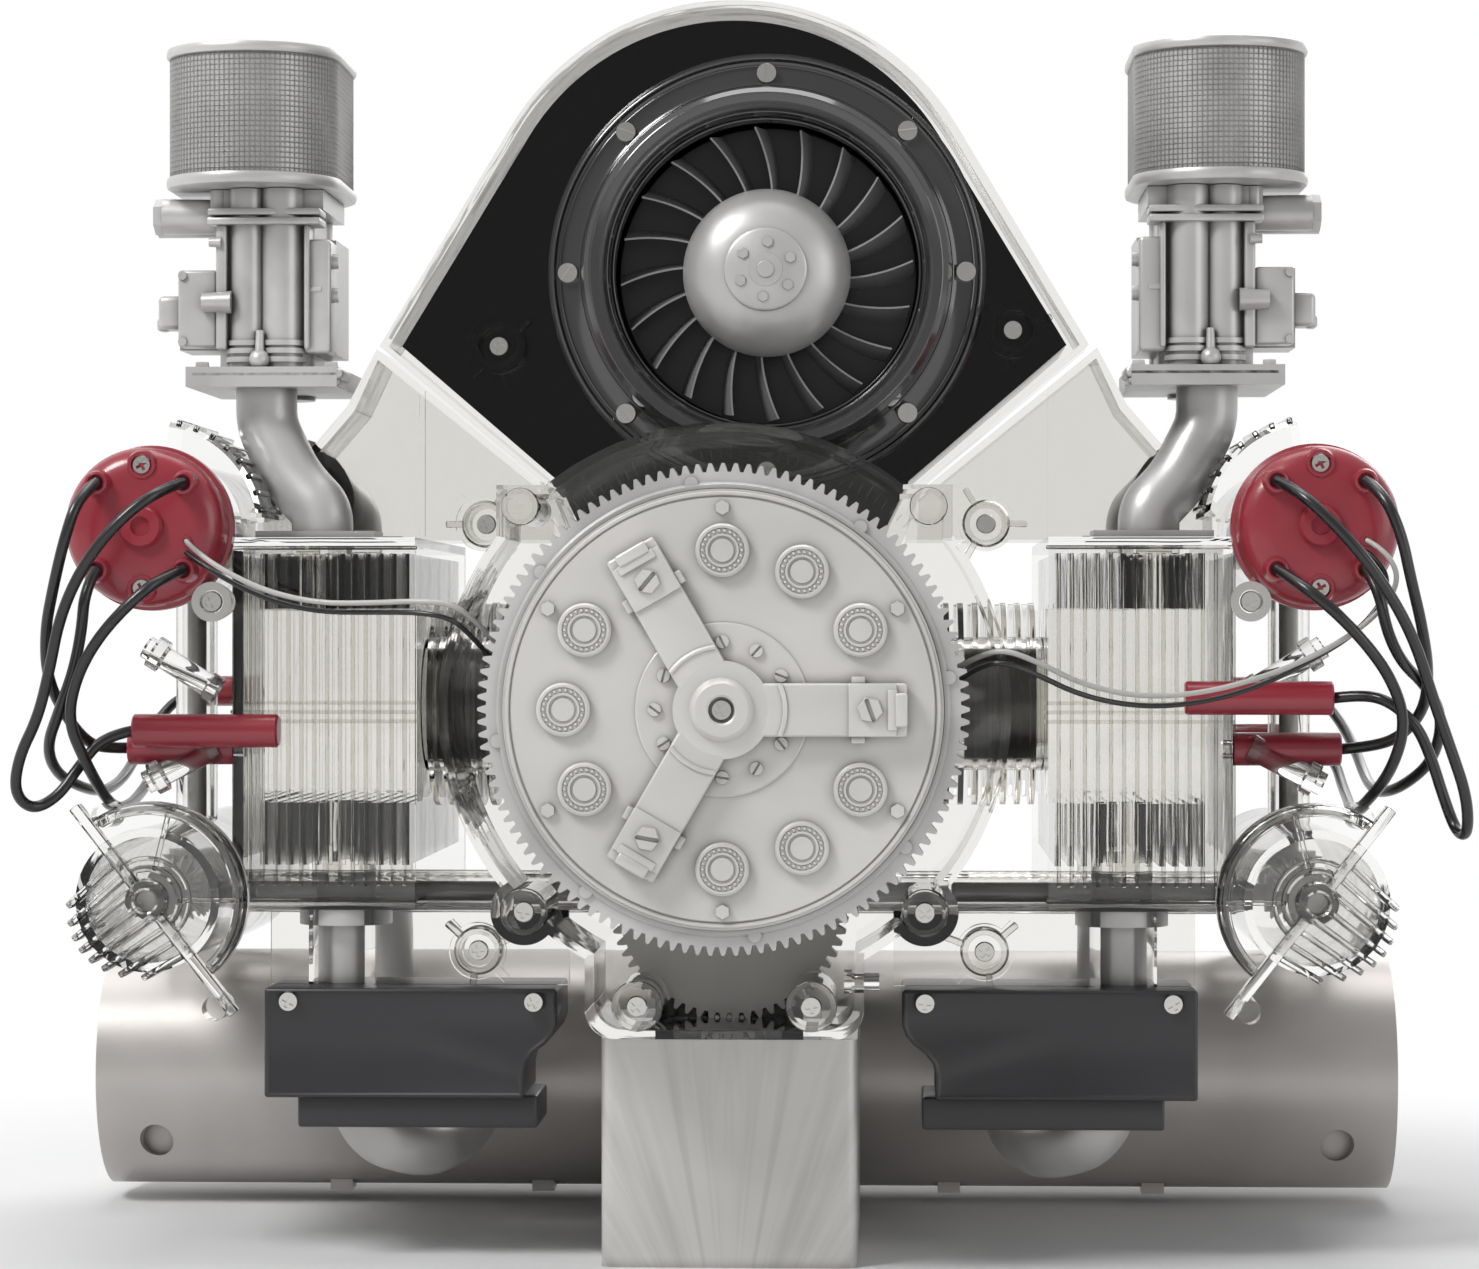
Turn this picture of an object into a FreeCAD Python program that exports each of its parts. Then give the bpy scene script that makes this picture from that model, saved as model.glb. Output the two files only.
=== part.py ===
import FreeCAD, Part
import Sketcher
import math
import os
import re
from FreeCAD import Placement, Rotation, Vector

# A clear, motor-driven flat-four model engine on a box stand.
# +X is to the right seen from the clutch end, +Y runs from the clutch to the pulley end, +Z is up.
# The origin is the middle of the stand's base, under the crankshaft's vertical plane.

SIZES = {
    # stand and what it carries
    "stand_half": 31.2, "stand_front": -62, "stand_back": 28, "stand_top": 55.5,
    "stand_wall": 3.2, "stand_corner": 3, "cover_thick": 2, "plate_half": 22, "plate_top": 58.3,
    "motor_can": 10.5, "motor_shaft": 1.25, "motor_front": -46, "motor_back": -10,
    # crank train
    "crank_z": 136.4, "throw": 8, "journal": 6, "pin_rad": 3.5, "web_rad": 13,
    "rod_length": 60, "rod_half": 2.9, "big_end": 6.5, "small_end": 3, "wrist_pin": 1.5,
    "left_front_y": -21, "bank_offset": 10, "bore_pitch": 52,
    "piston_rad": 14, "piston_length": 18, "piston_wall": 1.8, "crown_rise": 8,
    "bore_rad": 14.2, "barrel_rad": 17, "fin_rad": 25.7, "fin_pitch": 3.6, "fin_thick": 1.4,
    "case_half": 42, "case_front": -48, "case_back": 62, "case_low": 100, "case_high": 172,
    "case_wall": 2.2, "run_fit": 0.05,
    # timing gears
    "gear_module": 0.95, "crank_teeth": 40, "lay_teeth": 60, "motor_teeth": 40,
    "gear_front": -58, "gear_width": 7.4, "ring_teeth": 120, "gear_drop": 47.5,
    "bevel_module": 0.8, "bevel_teeth": 20, "pinion_teeth": 15, "bevel_face": 3.4,
    "cross_y": -20, "upright_y": 12, "shaft_rad": 2.5, "tube_rad": 5.4, "tube_wall": 1.6,
    # flywheel and clutch
    "ring_front": -96, "ring_width": 8, "web_back": -88, "clutch_face": -99, "clutch_rad": 51.8,
    "boss_ring": 37.3, "boss_rad": 6.3, "inner_disc": 20.5, "lever_width": 12.5,
    "lever_reach": 43.4, "hub_rad": 6.6, "hub_front": -106,
    # bell housing
    "bell_rad": 67.8, "bell_front": -90, "bell_back": -48, "bell_wall": 2.2, "bell_top": 189.4,
    "bell_half": 54, "lobe_half": 33, "lobe_low": 58.3, "lug_x": 47.4, "lug_z": 88.4, "lug_rad": 8,
    "button_z": 70.8,
    # cylinder heads, ducts and cam housings
    "head_in": 78, "head_out": 116, "duct_out": 123, "duct_low": 86, "duct_high": 178,
    "duct_front": -50, "duct_back": 70, "duct_wall": 2.2,
    "cam_x": 142.6, "intake_z": 180.2, "housing_rad": 17.7, "housing_wall": 2.2,
    "housing_front": -60, "intake_front": -52, "housing_back": 70, "cap_rad": 19.5,
    # fan and shroud
    "fan_x": 8.4, "fan_z": 244.3, "fan_rad": 36.5, "fan_hole": 38.7, "fan_hub": 21,
    "shroud_rad": 65, "shroud_z": 247.5, "shoulder_x": 88.6, "shoulder_z": 226.2,
    "waist_x": 48.4, "waist_z": 192.4, "shroud_low": 172, "foot_x": 40,
    "shroud_front": -35, "shroud_split": -5, "shroud_back": 20, "shell": 2, "black_inset": 5,
    "dynamo_rad": 20, "dynamo_back": 72, "pulley_front": 78, "pulley_back": 88,
    "crank_pulley_rad": 18, "fan_pulley_rad": 15,
    # induction
    "carb_x": 118, "filter_x": 121.8, "carb_low": 216, "carb_high": 267, "filter_rad": 21, "filter_high": 301,
    "pipe_rad": 7.7, "runner_y": -29,
    # exhaust
    "muffler_rad": 32, "muffler_half": 173.5, "muffler_y": 65, "muffler_z": 35.5,
    "exhaust_x": 96.5, "exhaust_y": -38, "exhaust_rad": 7.5,
    "box_in": 42.1, "box_out": 113.9, "box_low": 40, "box_high": 67.5,
    "box_front": -60, "box_back": -25, "box_wall": 2,
    # plugs and wiring
    "boot_rad": 4.15, "lead_rad": 1.4, "wire_rad": 0.65,
}

doc = FreeCAD.newDocument("FlatFourModel")
sheet = doc.addObject("Spreadsheet::Sheet", "Sizes")
for row, (alias, value) in enumerate(SIZES.items(), start=1):
    sheet.set(f"A{row}", alias)
    sheet.set(f"B{row}", str(value))
    sheet.setAlias(f"B{row}", alias)
doc.recompute()

NODES = []
TURN = {
    "X": Rotation(Vector(0, 1, 0), 90),
    "Y": Rotation(Vector(1, 0, 0), -90),
    "Z": Rotation(),
}


def size(alias):
    """The number in the sheet's cell."""
    return float(sheet.get(alias))


def formula(text):
    """A cell expression, with each alias in it read from the sheet."""
    found = lambda word: "Sizes." + word.group() if word.group() in SIZES else word.group()
    return re.sub(r"[a-z]\w*", found, str(text))


def bind(item, sizes):
    for name, text in sizes.items():
        item.setExpression(name, formula(text))
    return item


def place(item, x, y, z):
    return bind(item, {"Placement.Base.x": x, "Placement.Base.y": y, "Placement.Base.z": z})


def node(item, label):
    item.Label = label
    NODES.append(item)
    return item


def block(xs, ys, zs):
    """A box between two bounds along each axis."""
    item = doc.addObject("Part::Box", "Block")
    for name, (low, high) in (("Length", xs), ("Width", ys), ("Height", zs)):
        bind(item, {name: f"({high}) - ({low})"})
    return place(item, xs[0], ys[0], zs[0])


def centred(half, ys, zs, x=0):
    """A box centred on x."""
    return block((f"{x} - ({half})", f"{x} + ({half})"), ys, zs)


def round_bar(axis, start, radius, length):
    item = doc.addObject("Part::Cylinder", "Bar")
    item.Placement = Placement(Vector(), TURN[axis])
    bind(item, {"Radius": radius, "Height": length})
    return place(item, *start)


def along_y(x, z, y_low, y_high, radius):
    return round_bar("Y", (x, y_low, z), radius, f"({y_high}) - ({y_low})")


def along_x(x_low, x_high, y, z, radius):
    return round_bar("X", (x_low, y, z), radius, f"({x_high}) - ({x_low})")


def along_z(x, y, z_low, z_high, radius):
    return round_bar("Z", (x, y, z_low), radius, f"({z_high}) - ({z_low})")


def cone_y(x, z, y_low, y_high, radius_low, radius_high):
    item = doc.addObject("Part::Cone", "Taper")
    item.Placement = Placement(Vector(), TURN["Y"])
    bind(item, {"Radius1": radius_low, "Radius2": radius_high, "Height": f"({y_high}) - ({y_low})"})
    return place(item, x, y_low, z)


def fused(*items):
    item = doc.addObject("Part::MultiFuse", "Union")
    item.Shapes = list(items)
    return item


def cut(base, *tools):
    item = doc.addObject("Part::Cut", "Cut")
    item.Base = base
    item.Tool = tools[0] if len(tools) == 1 else fused(*tools)
    return item


def mirrored(item):
    """The same piece on the other side of the crank's vertical plane."""
    other = doc.addObject("Part::Mirroring", "Mirror")
    other.Source = item
    other.Base = Vector()
    other.Normal = Vector(1, 0, 0)
    return other


def both_sides(item, label):
    """The right-hand piece and its mirror image, as two nodes."""
    node(item, f"{label}_right")
    node(mirrored(item), f"{label}_left")


def pair(item, label):
    """The right-hand piece and its mirror image, sharing one node."""
    node(group(item, mirrored(item)), label)


def group(*items):
    """Separate solids that share one node."""
    item = doc.addObject("Part::Compound", "Group")
    item.Links = list(items)
    return item


def swung(item, angle, x, z):
    """A piece drawn about the Y axis, swung by an angle and set down at x and z."""
    item.Placement = Placement(Vector(), Rotation(Vector(0, 1, 0), -angle))
    return place(item, f"{x}", "0", f"{z}")


def shaped(shape, name="Form"):
    """A feature whose form is worked out in code."""
    item = doc.addObject("Part::Feature", name)
    item.Shape = shape
    return item


def origin_plane(body, role):
    return next(plane for plane in body.Origin.OriginFeatures if plane.Role == role)


def number(text):
    """The value of a sum of cells and plain numbers."""
    total = 0.0
    for sign, term in re.findall(r"([+-]?)\s*([a-z_]+|[0-9.]+)", str(text)):
        amount = size(term) if term in SIZES else float(term)
        total += -amount if sign == "-" else amount
    return total


def turned(label, profile, x="0", z="0"):
    """A body turned about an axis along Y from corners given as radius and y."""
    body = doc.addObject("PartDesign::Body", "Turned")
    sketch = body.newObject("Sketcher::SketchObject", "Profile")
    sketch.AttachmentSupport = [(origin_plane(body, "XY_Plane"), "")]
    sketch.MapMode = "FlatFace"
    start = [Vector(number(across), number(up), 0) for across, up in profile]
    count = len(profile)
    for index in range(count):
        sketch.addGeometry(Part.LineSegment(start[index], start[(index + 1) % count]), False)
    for index, (across, up) in enumerate(profile):
        sketch.addConstraint(Sketcher.Constraint("Coincident", index, 2, (index + 1) % count, 1))
        for kind, text, there in (("DistanceX", across, start[index].x), ("DistanceY", up, start[index].y)):
            held = sketch.addConstraint(Sketcher.Constraint(kind, -1, 1, index, 1, there))
            sketch.setExpression(f"Constraints[{held}]", formula(text))
    spin = body.newObject("PartDesign::Revolution", "Turning")
    spin.Profile = sketch
    spin.ReferenceAxis = (sketch, ["V_Axis"])
    spin.Angle = 360
    sketch.Visibility = False
    body.Tip = spin
    place(body, x, "0", z)
    if label:
        node(body, label)
    return body


def arc_path(points):
    """Straight runs joined by tangent arcs, as large as the runs beside each corner allow."""
    spots = [Vector(*point) for point in points]
    edges = []
    radii = []
    start = spots[0]
    for before, corner, after in zip(spots, spots[1:], spots[2:]):
        back = (before - corner).normalize()
        ahead = (after - corner).normalize()
        half_turn = (math.pi - back.getAngle(ahead)) / 2
        run = 0.45 * min((before - corner).Length, (after - corner).Length)
        radius = run / math.tan(half_turn)
        radii.append(radius)
        middle_way = (back + ahead).normalize()
        middle = corner + middle_way * (radius / math.cos(half_turn) - radius)
        enter, leave = corner + back * run, corner + ahead * run
        edges.append(Part.LineSegment(start, enter).toShape())
        edges.append(Part.Arc(enter, middle, leave).toShape())
        start = leave
    edges.append(Part.LineSegment(start, spots[-1]).toShape())
    print("bend radii", " ".join(f"{radius:.0f}" for radius in radii))
    return Part.Wire(edges)


def tube(points, radius):
    """A round bar along a path of runs and arcs."""
    path = arc_path(points)
    way = Vector(*points[1]) - Vector(*points[0])
    ring = Part.Wire(Part.makeCircle(radius, Vector(*points[0]), way))
    shape = path.makePipeShell([ring], True, False)
    expected = math.pi * radius ** 2 * path.Length
    if abs(shape.Volume - expected) > 0.01 * expected:
        raise ValueError(f"tube volume {shape.Volume:.0f} against {expected:.0f}")
    return shape


def tooth_points(teeth, module, first_tooth, slack, scale=1.0):
    """Corners of an involute gear's outline, with the first tooth at the given angle in degrees."""
    pitch = teeth * module / 2
    base = pitch * math.cos(math.radians(20))
    involute = lambda radius: 0.0 if radius <= base else (
        math.tan(math.acos(base / radius)) - math.acos(base / radius))
    radii = [pitch - 1.2 * module, pitch - 0.45 * module, pitch, pitch + 0.5 * module, pitch + 0.95 * module]
    corners = []
    for tooth in range(teeth):
        centre = math.radians(first_tooth) + 2 * math.pi * tooth / teeth
        halves = [math.pi / 2 / teeth - slack / 2 / pitch + involute(pitch) - involute(radius)
                  for radius in radii]
        flank = list(zip(radii, halves))
        for radius, half in flank:
            corners.append((radius * scale, centre - half))
        for radius, half in reversed(flank):
            corners.append((radius * scale, centre + half))
    return [(radius * math.cos(angle), radius * math.sin(angle)) for radius, angle in corners]


def spur(teeth, first_tooth, y_front, width, x, z, slack=0.12):
    """A spur gear whose axis runs along Y."""
    corners = tooth_points(teeth, size("gear_module"), first_tooth, slack)
    outline = Part.makePolygon([Vector(x + across, y_front, z + up) for across, up in corners + corners[:1]])
    return Part.Face(outline).extrude(Vector(0, width, 0))


def bevel(teeth, mate_teeth, apex, way, tooth_way, slack=0.3):
    """A bevel gear on the side of the apex that way points to, a tooth centred on tooth_way."""
    module = size("bevel_module")
    pitch, away = teeth * module / 2, mate_teeth * module / 2
    cone = math.hypot(pitch, away)
    shrink = (cone - size("bevel_face")) / cone
    along, across = Vector(*way), Vector(*tooth_way)
    third = along.cross(across)
    rings = []
    for scale in (1.0, shrink):
        corners = tooth_points(teeth, module, 0, slack, scale)
        centre = Vector(*apex) + along * away * scale
        spots = [centre + across * one + third * two for one, two in corners + corners[:1]]
        rings.append(Part.makePolygon(spots))
    teeth_part = Part.makeLoft(rings, True, True)
    back = Part.makeCylinder(pitch - 1.5 * module, 1.5, Vector(*apex) + along * (away - 0.01), along)
    return teeth_part.fuse(back)


# ---------------------------------------------------------------- stand and its motor
def make_stand():
    xs = ("0 - stand_half", "stand_half")
    ys = ("stand_front", "stand_back")
    outer = block(xs, ys, ("0", "stand_top"))
    doc.recompute()
    upright = [index for index, edge in enumerate(outer.Shape.Edges, start=1)
               if abs(edge.BoundBox.ZLength - size("stand_top")) < 0.01]
    rounded = doc.addObject("Part::Fillet", "Rounded")
    rounded.Base = outer
    rounded.Edges = [(index, size("stand_corner"), size("stand_corner")) for index in upright]
    cavity_ys = ("stand_front + stand_wall", "stand_back - stand_wall")
    cavity = centred("stand_half - stand_wall", cavity_ys, ("-1", "stand_top - stand_wall"))
    slot = centred("17.6", ("gear_front - 0.5", "gear_front + gear_width + 1"), ("stand_top - 6", "stand_top + 1"))
    node(cut(rounded, cavity, slot), "stand")
    node(centred("stand_half - stand_wall", cavity_ys, ("0", "cover_thick")), "battery_cover")
    plate = centred("plate_half", ("gear_front - 2", "-5"), ("stand_top", "plate_top"))
    opening = centred("15", ("gear_front - 0.5", "gear_front + gear_width + 1"), ("stand_top - 1", "plate_top + 1"))
    node(cut(plate, opening), "stand_top_plate")


def make_motor():
    motor_z = "crank_z - 2 * gear_drop"
    can = along_y("0", motor_z, "motor_front", "motor_back", "motor_can")
    saddle = centred("8", ("motor_front + 4", "motor_back - 4"), (motor_z, "stand_top - stand_wall"))
    bore = along_y("0", motor_z, "motor_front - 1", "motor_front + 12", "motor_shaft + run_fit")
    node(cut(fused(can, saddle), bore), "drive_motor")
    shaft = along_y("0", motor_z, "gear_front + 1", "motor_front + 11", "motor_shaft")
    z = size("crank_z") - 2 * size("gear_drop")
    wheel = spur(int(size("motor_teeth")), 90, size("gear_front"), size("gear_width"), 0, z)
    node(fused(shaped(wheel, "MotorTeeth"), shaft), "motor_gear")


# ---------------------------------------------------------------- crank train
def cylinder_rows():
    """Each cylinder: name, side, its y and which side its crankpin rests on."""
    front_left = size("left_front_y")
    offset, pitch = size("bank_offset"), size("bore_pitch")
    return (
        ("front_left", -1, "left_front_y", -1, front_left),
        ("front_right", 1, "left_front_y + bank_offset", 1, front_left + offset),
        ("rear_left", -1, "left_front_y + bore_pitch", 1, front_left + pitch),
        ("rear_right", 1, "left_front_y + bore_pitch + bank_offset", -1, front_left + pitch + offset),
    )


def make_crankshaft():
    front_web, rear_web = "left_front_y - 7.2", "left_front_y + bore_pitch - 7.2"
    parts = [along_y("0", "crank_z", "web_back + 18", front_web, "journal"),
             along_y("0", "crank_z", "left_front_y + 17", rear_web, "journal"),
             along_y("0", "crank_z", "left_front_y + bore_pitch + 17", "pulley_front", "journal")]
    for start in ("left_front_y", "left_front_y + bore_pitch"):
        for low, high in (("-7.2", "-3.2"), ("3.2", "6.8"), ("13.2", "17.2")):
            parts.append(along_y("0", "crank_z", f"{start} + {low}", f"{start} + {high}", "web_rad"))
    for _, _, where, pin_side, _ in cylinder_rows():
        parts.append(along_y(f"{pin_side} * throw", "crank_z", f"{where} - 3.3", f"{where} + 3.3", "pin_rad"))
    wheel = spur(int(size("crank_teeth")), -90, size("gear_front"), size("gear_width"), 0, size("crank_z"))
    parts.append(shaped(wheel, "CrankTeeth"))
    sockets = [along_y(f"{hand} * throw / 2", "crank_z", f"{start} + 13.1", f"{start} + 16.9", "2.3")
               for hand, start in ((1, "left_front_y"), (-1, "left_front_y + bore_pitch"))]
    node(cut(fused(*parts), *sockets), "crankshaft")
    for name, hand, start in (("front", 1, "left_front_y"), ("rear", -1, "left_front_y + bore_pitch")):
        plug = along_y(f"{hand} * throw / 2", "crank_z", f"{start} + 13.5", f"{start} + 16.6", "2")
        node(plug, f"crank_web_plug_{name}")


def make_rods_and_pistons():
    barrels = []
    for name, side, where, pin_side, y in cylinder_rows():
        pin = f"{pin_side} * throw"
        tip = f"{pin_side} * throw + {side} * rod_length"
        low, high = f"{where} - rod_half", f"{where} + rod_half"
        eye = along_y(pin, "crank_z", low, high, "big_end")
        little = along_y(tip, "crank_z", low, high, "small_end")
        wrist = along_y(tip, "crank_z", f"{where} - 4.5", f"{where} + 4.5", "wrist_pin")
        ends = (pin, tip) if side > 0 else (tip, pin)
        shank = block(ends, (f"{where} - 1.5", f"{where} + 1.5"), ("crank_z - 2.4", "crank_z + 2.4"))
        hole = along_y(pin, "crank_z", f"{where} - 5", f"{where} + 5", "pin_rad + run_fit")
        node(cut(fused(eye, little, wrist, shank), hole), f"connecting_rod_{name}")
        crown = f"{tip} + {side} * crown_rise"
        skirt = f"{crown} - {side} * piston_length"
        inner = f"{crown} - {side} * 2.4"
        ends = (skirt, crown) if side > 0 else (crown, skirt)
        hollow = (f"{skirt} - 1", inner) if side > 0 else (inner, f"{skirt} + 1")
        outer = along_x(*ends, where, "crank_z", "piston_rad")
        inside = along_x(*hollow, where, "crank_z", "piston_rad - piston_wall")
        node(cut(outer, inside), f"piston_{name}")
        bar = []
        low_x, high_x = ("case_half", "head_in") if side > 0 else ("0 - head_in", "0 - case_half")
        bar.append(along_x(low_x, high_x, where, "crank_z", "barrel_rad"))
        for fin in range(9):
            near = f"case_half + 3.4 + {fin} * fin_pitch"
            far = f"{near} + fin_thick"
            reach = (near, far) if side > 0 else (f"0 - ({far})", f"0 - ({near})")
            bar.append(along_x(*reach, where, "crank_z", "fin_rad"))
        bore = along_x(f"({low_x}) - 1", f"({high_x}) + 1", where, "crank_z", "bore_rad")
        barrels.append(cut(fused(*bar), bore))
    node(group(*barrels), "cylinder_barrels")


def make_crankcase():
    for name, side in (("left", -1), ("right", 1)):
        xs = ("0", "case_half") if side > 0 else ("0 - case_half", "0")
        deep = ("-1", "case_half - case_wall") if side > 0 else ("case_wall - case_half", "1")
        outer = block(xs, ("case_front", "case_back"), ("case_low", "case_high"))
        inner = block(deep, ("case_front + case_wall", "case_back - case_wall"),
                      ("case_low + case_wall", "case_high - case_wall"))
        tools = [inner, along_y("0", "crank_z", "case_front - 1", "case_back + 1", "journal + run_fit")]
        tools.append(centred("14", ("case_front + 4", "-4"), ("case_low - 1", "case_low + 4")))
        for _, bank, where, _, _ in cylinder_rows():
            if bank == side:
                reach = ("30", "case_half + 1") if side > 0 else ("-1 - case_half", "-30")
                tools.append(along_x(*reach, where, "crank_z", "bore_rad"))
        node(cut(outer, *tools), f"crankcase_{name}")
    outer = centred("18", ("case_front", "20"), ("plate_top", "case_low"))
    inner = centred("18 - case_wall", ("case_front + case_wall", "20 - case_wall"),
                    ("plate_top + case_wall", "case_low + 1"))
    lay_z = "crank_z - gear_drop"
    bore = along_y("0", lay_z, "case_front - 1", "case_front + 5", "shaft_rad + run_fit")
    cross = along_x("-20", "20", "cross_y", lay_z, "tube_rad - tube_wall")
    node(cut(outer, inner, bore, cross), "sump")


# ---------------------------------------------------------------- timing train
def make_timing_train():
    lay_z = "crank_z - gear_drop"
    z = size("crank_z") - size("gear_drop")
    full, pinion = int(size("bevel_teeth")), int(size("pinion_teeth"))
    apex = (0, size("cross_y"), z)
    big = size("bevel_module") * full / 2
    small = size("bevel_module") * pinion / 2
    lay_teeth = int(size("lay_teeth"))
    wheel = spur(lay_teeth, 90 + 180 / lay_teeth, size("gear_front"), size("gear_width"), 0, z)
    shaft = along_y("0", lay_z, "gear_front", f"cross_y - {big}", "shaft_rad")
    front_bevel = bevel(full, full, apex, (0, -1, 0), (1, 0, 0))
    node(fused(shaped(wheel, "LayTeeth"), shaft, shaped(front_bevel, "LayBevel")), "layshaft_gear")

    far = (size("cam_x"), size("cross_y"), z)
    gap = 90 + 180 / full
    inner_way = (0, math.cos(math.radians(gap)), math.sin(math.radians(gap)))
    inner_bevel = bevel(full, full, apex, (1, 0, 0), inner_way)
    outer_bevel = bevel(pinion, full, far, (-1, 0, 0), (0, 1, 0))
    bar = along_x(f"{big}", f"cam_x - {big}", "cross_y", lay_z, "shaft_rad")
    both_sides(fused(bar, shaped(inner_bevel), shaped(outer_bevel)), "cross_shaft")

    low = (size("cam_x"), size("upright_y"), z)
    high = (size("cam_x"), size("upright_y"), size("intake_z"))
    half_gap = math.radians(180 / full)
    to_cross = (-math.cos(half_gap), 0, math.sin(half_gap))
    cam_low = [along_y("cam_x", lay_z, "housing_front", "housing_back - 1", "shaft_rad")]
    cam_low.append(shaped(bevel(full, pinion, far, (0, 1, 0), to_cross)))
    cam_low.append(shaped(bevel(full, full, low, (0, -1, 0), (0, 0, 1))))
    cam_high = [along_y("cam_x", "intake_z", "intake_front", "housing_back - 1", "shaft_rad")]
    cam_high.append(shaped(bevel(full, full, high, (0, 1, 0), (0, 0, 1))))
    for spot, lean in ((-42, 0), (-32, 70), (32, 180), (44, 250)):
        for shafts, centre_z in ((cam_low, lay_z), (cam_high, "intake_z")):
            rise = math.radians(lean)
            shift_x, shift_z = 3 * math.cos(rise), 3 * math.sin(rise)
            shafts.append(along_y("cam_x", centre_z, f"{spot}", f"{spot} + 6", "5.5"))
            shafts.append(along_y(f"cam_x + {shift_x:.2f}", f"{centre_z} + {shift_z:.2f}", f"{spot}", f"{spot} + 6", "4"))
    both_sides(fused(*cam_low), "exhaust_camshaft")
    both_sides(fused(*cam_high), "intake_camshaft")
    upright = [along_z("cam_x", "upright_y", f"{lay_z} + {big}", f"intake_z - {big}", "shaft_rad")]
    lower_way = (math.sin(half_gap), -math.cos(half_gap), 0)
    upper_way = (math.sin(half_gap), math.cos(half_gap), 0)
    upright.append(shaped(bevel(full, full, low, (0, 0, 1), lower_way)))
    upright.append(shaped(bevel(full, full, high, (0, 0, -1), upper_way)))
    both_sides(fused(*upright), "vertical_shaft")


def make_shaft_tubes():
    lay_z = "crank_z - gear_drop"
    tube_out = along_x("18", "cam_x - 10", "cross_y", lay_z, "tube_rad")
    tube_in = along_x("17", "cam_x - 9", "cross_y", lay_z, "tube_rad - tube_wall")
    low_end = along_y("cam_x", lay_z, "housing_front", "housing_back", "housing_rad")
    tubes = [cut(tube_out, tube_in, low_end)]
    stand_out = along_z("cam_x", "upright_y", lay_z, "intake_z", "tube_rad")
    stand_in = along_z("cam_x", "upright_y", lay_z, "intake_z", "tube_rad - tube_wall")
    low_end = along_y("cam_x", lay_z, "housing_front", "housing_back", "housing_rad")
    high_end = along_y("cam_x", "intake_z", "housing_front", "housing_back", "housing_rad")
    tubes.append(cut(stand_out, stand_in, low_end, high_end))
    node(group(*tubes, *(mirrored(item) for item in tubes)), "shaft_tubes")


def make_cam_housings():
    for label, centre_z, front in (("exhaust_cam_housings", "crank_z - gear_drop", "housing_front"),
                                   ("intake_cam_housings", "intake_z", "intake_front")):
        outer = along_y("cam_x", centre_z, front, "housing_back", "housing_rad")
        inner = along_y("cam_x", centre_z, f"{front} + 2.5", "housing_back - 2.5", "housing_rad - housing_wall")
        front_bore = along_y("cam_x", centre_z, f"{front} - 1", f"{front} + 3", "shaft_rad + run_fit")
        back_bore = along_y("cam_x", centre_z, "housing_back - 3", "housing_back - 0.8", "shaft_rad + run_fit")
        tools = [inner, front_bore, back_bore]
        if label.startswith("exhaust"):
            tools.append(along_x("cam_x - 20", "cam_x - 8", "cross_y", centre_z, "tube_rad - tube_wall"))
            tools.append(along_z("cam_x", "upright_y", f"{centre_z} + 8", f"{centre_z} + 20", "tube_rad - tube_wall"))
        else:
            tools.append(along_z("cam_x", "upright_y", f"{centre_z} - 20", f"{centre_z} - 8", "tube_rad - tube_wall"))
        pair(cut(outer, *tools), label)


# ---------------------------------------------------------------- flywheel and clutch
def make_flywheel():
    teeth = int(size("ring_teeth"))
    rim = spur(teeth, 90, size("ring_front"), size("ring_width"), 0, size("crank_z"))
    hub = along_y("0", "crank_z", "web_back", "web_back + 18", "9")
    back = along_y("0", "crank_z", "web_back - 3.5", "web_back + 1", "52.5")
    hollow = along_y("0", "crank_z", "web_back - 3.5", "web_back + 1", "22")
    recess = cut(back, hollow)
    node(cut(fused(shaped(rim, "RingTeeth"), hub), recess), "flywheel")


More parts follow.
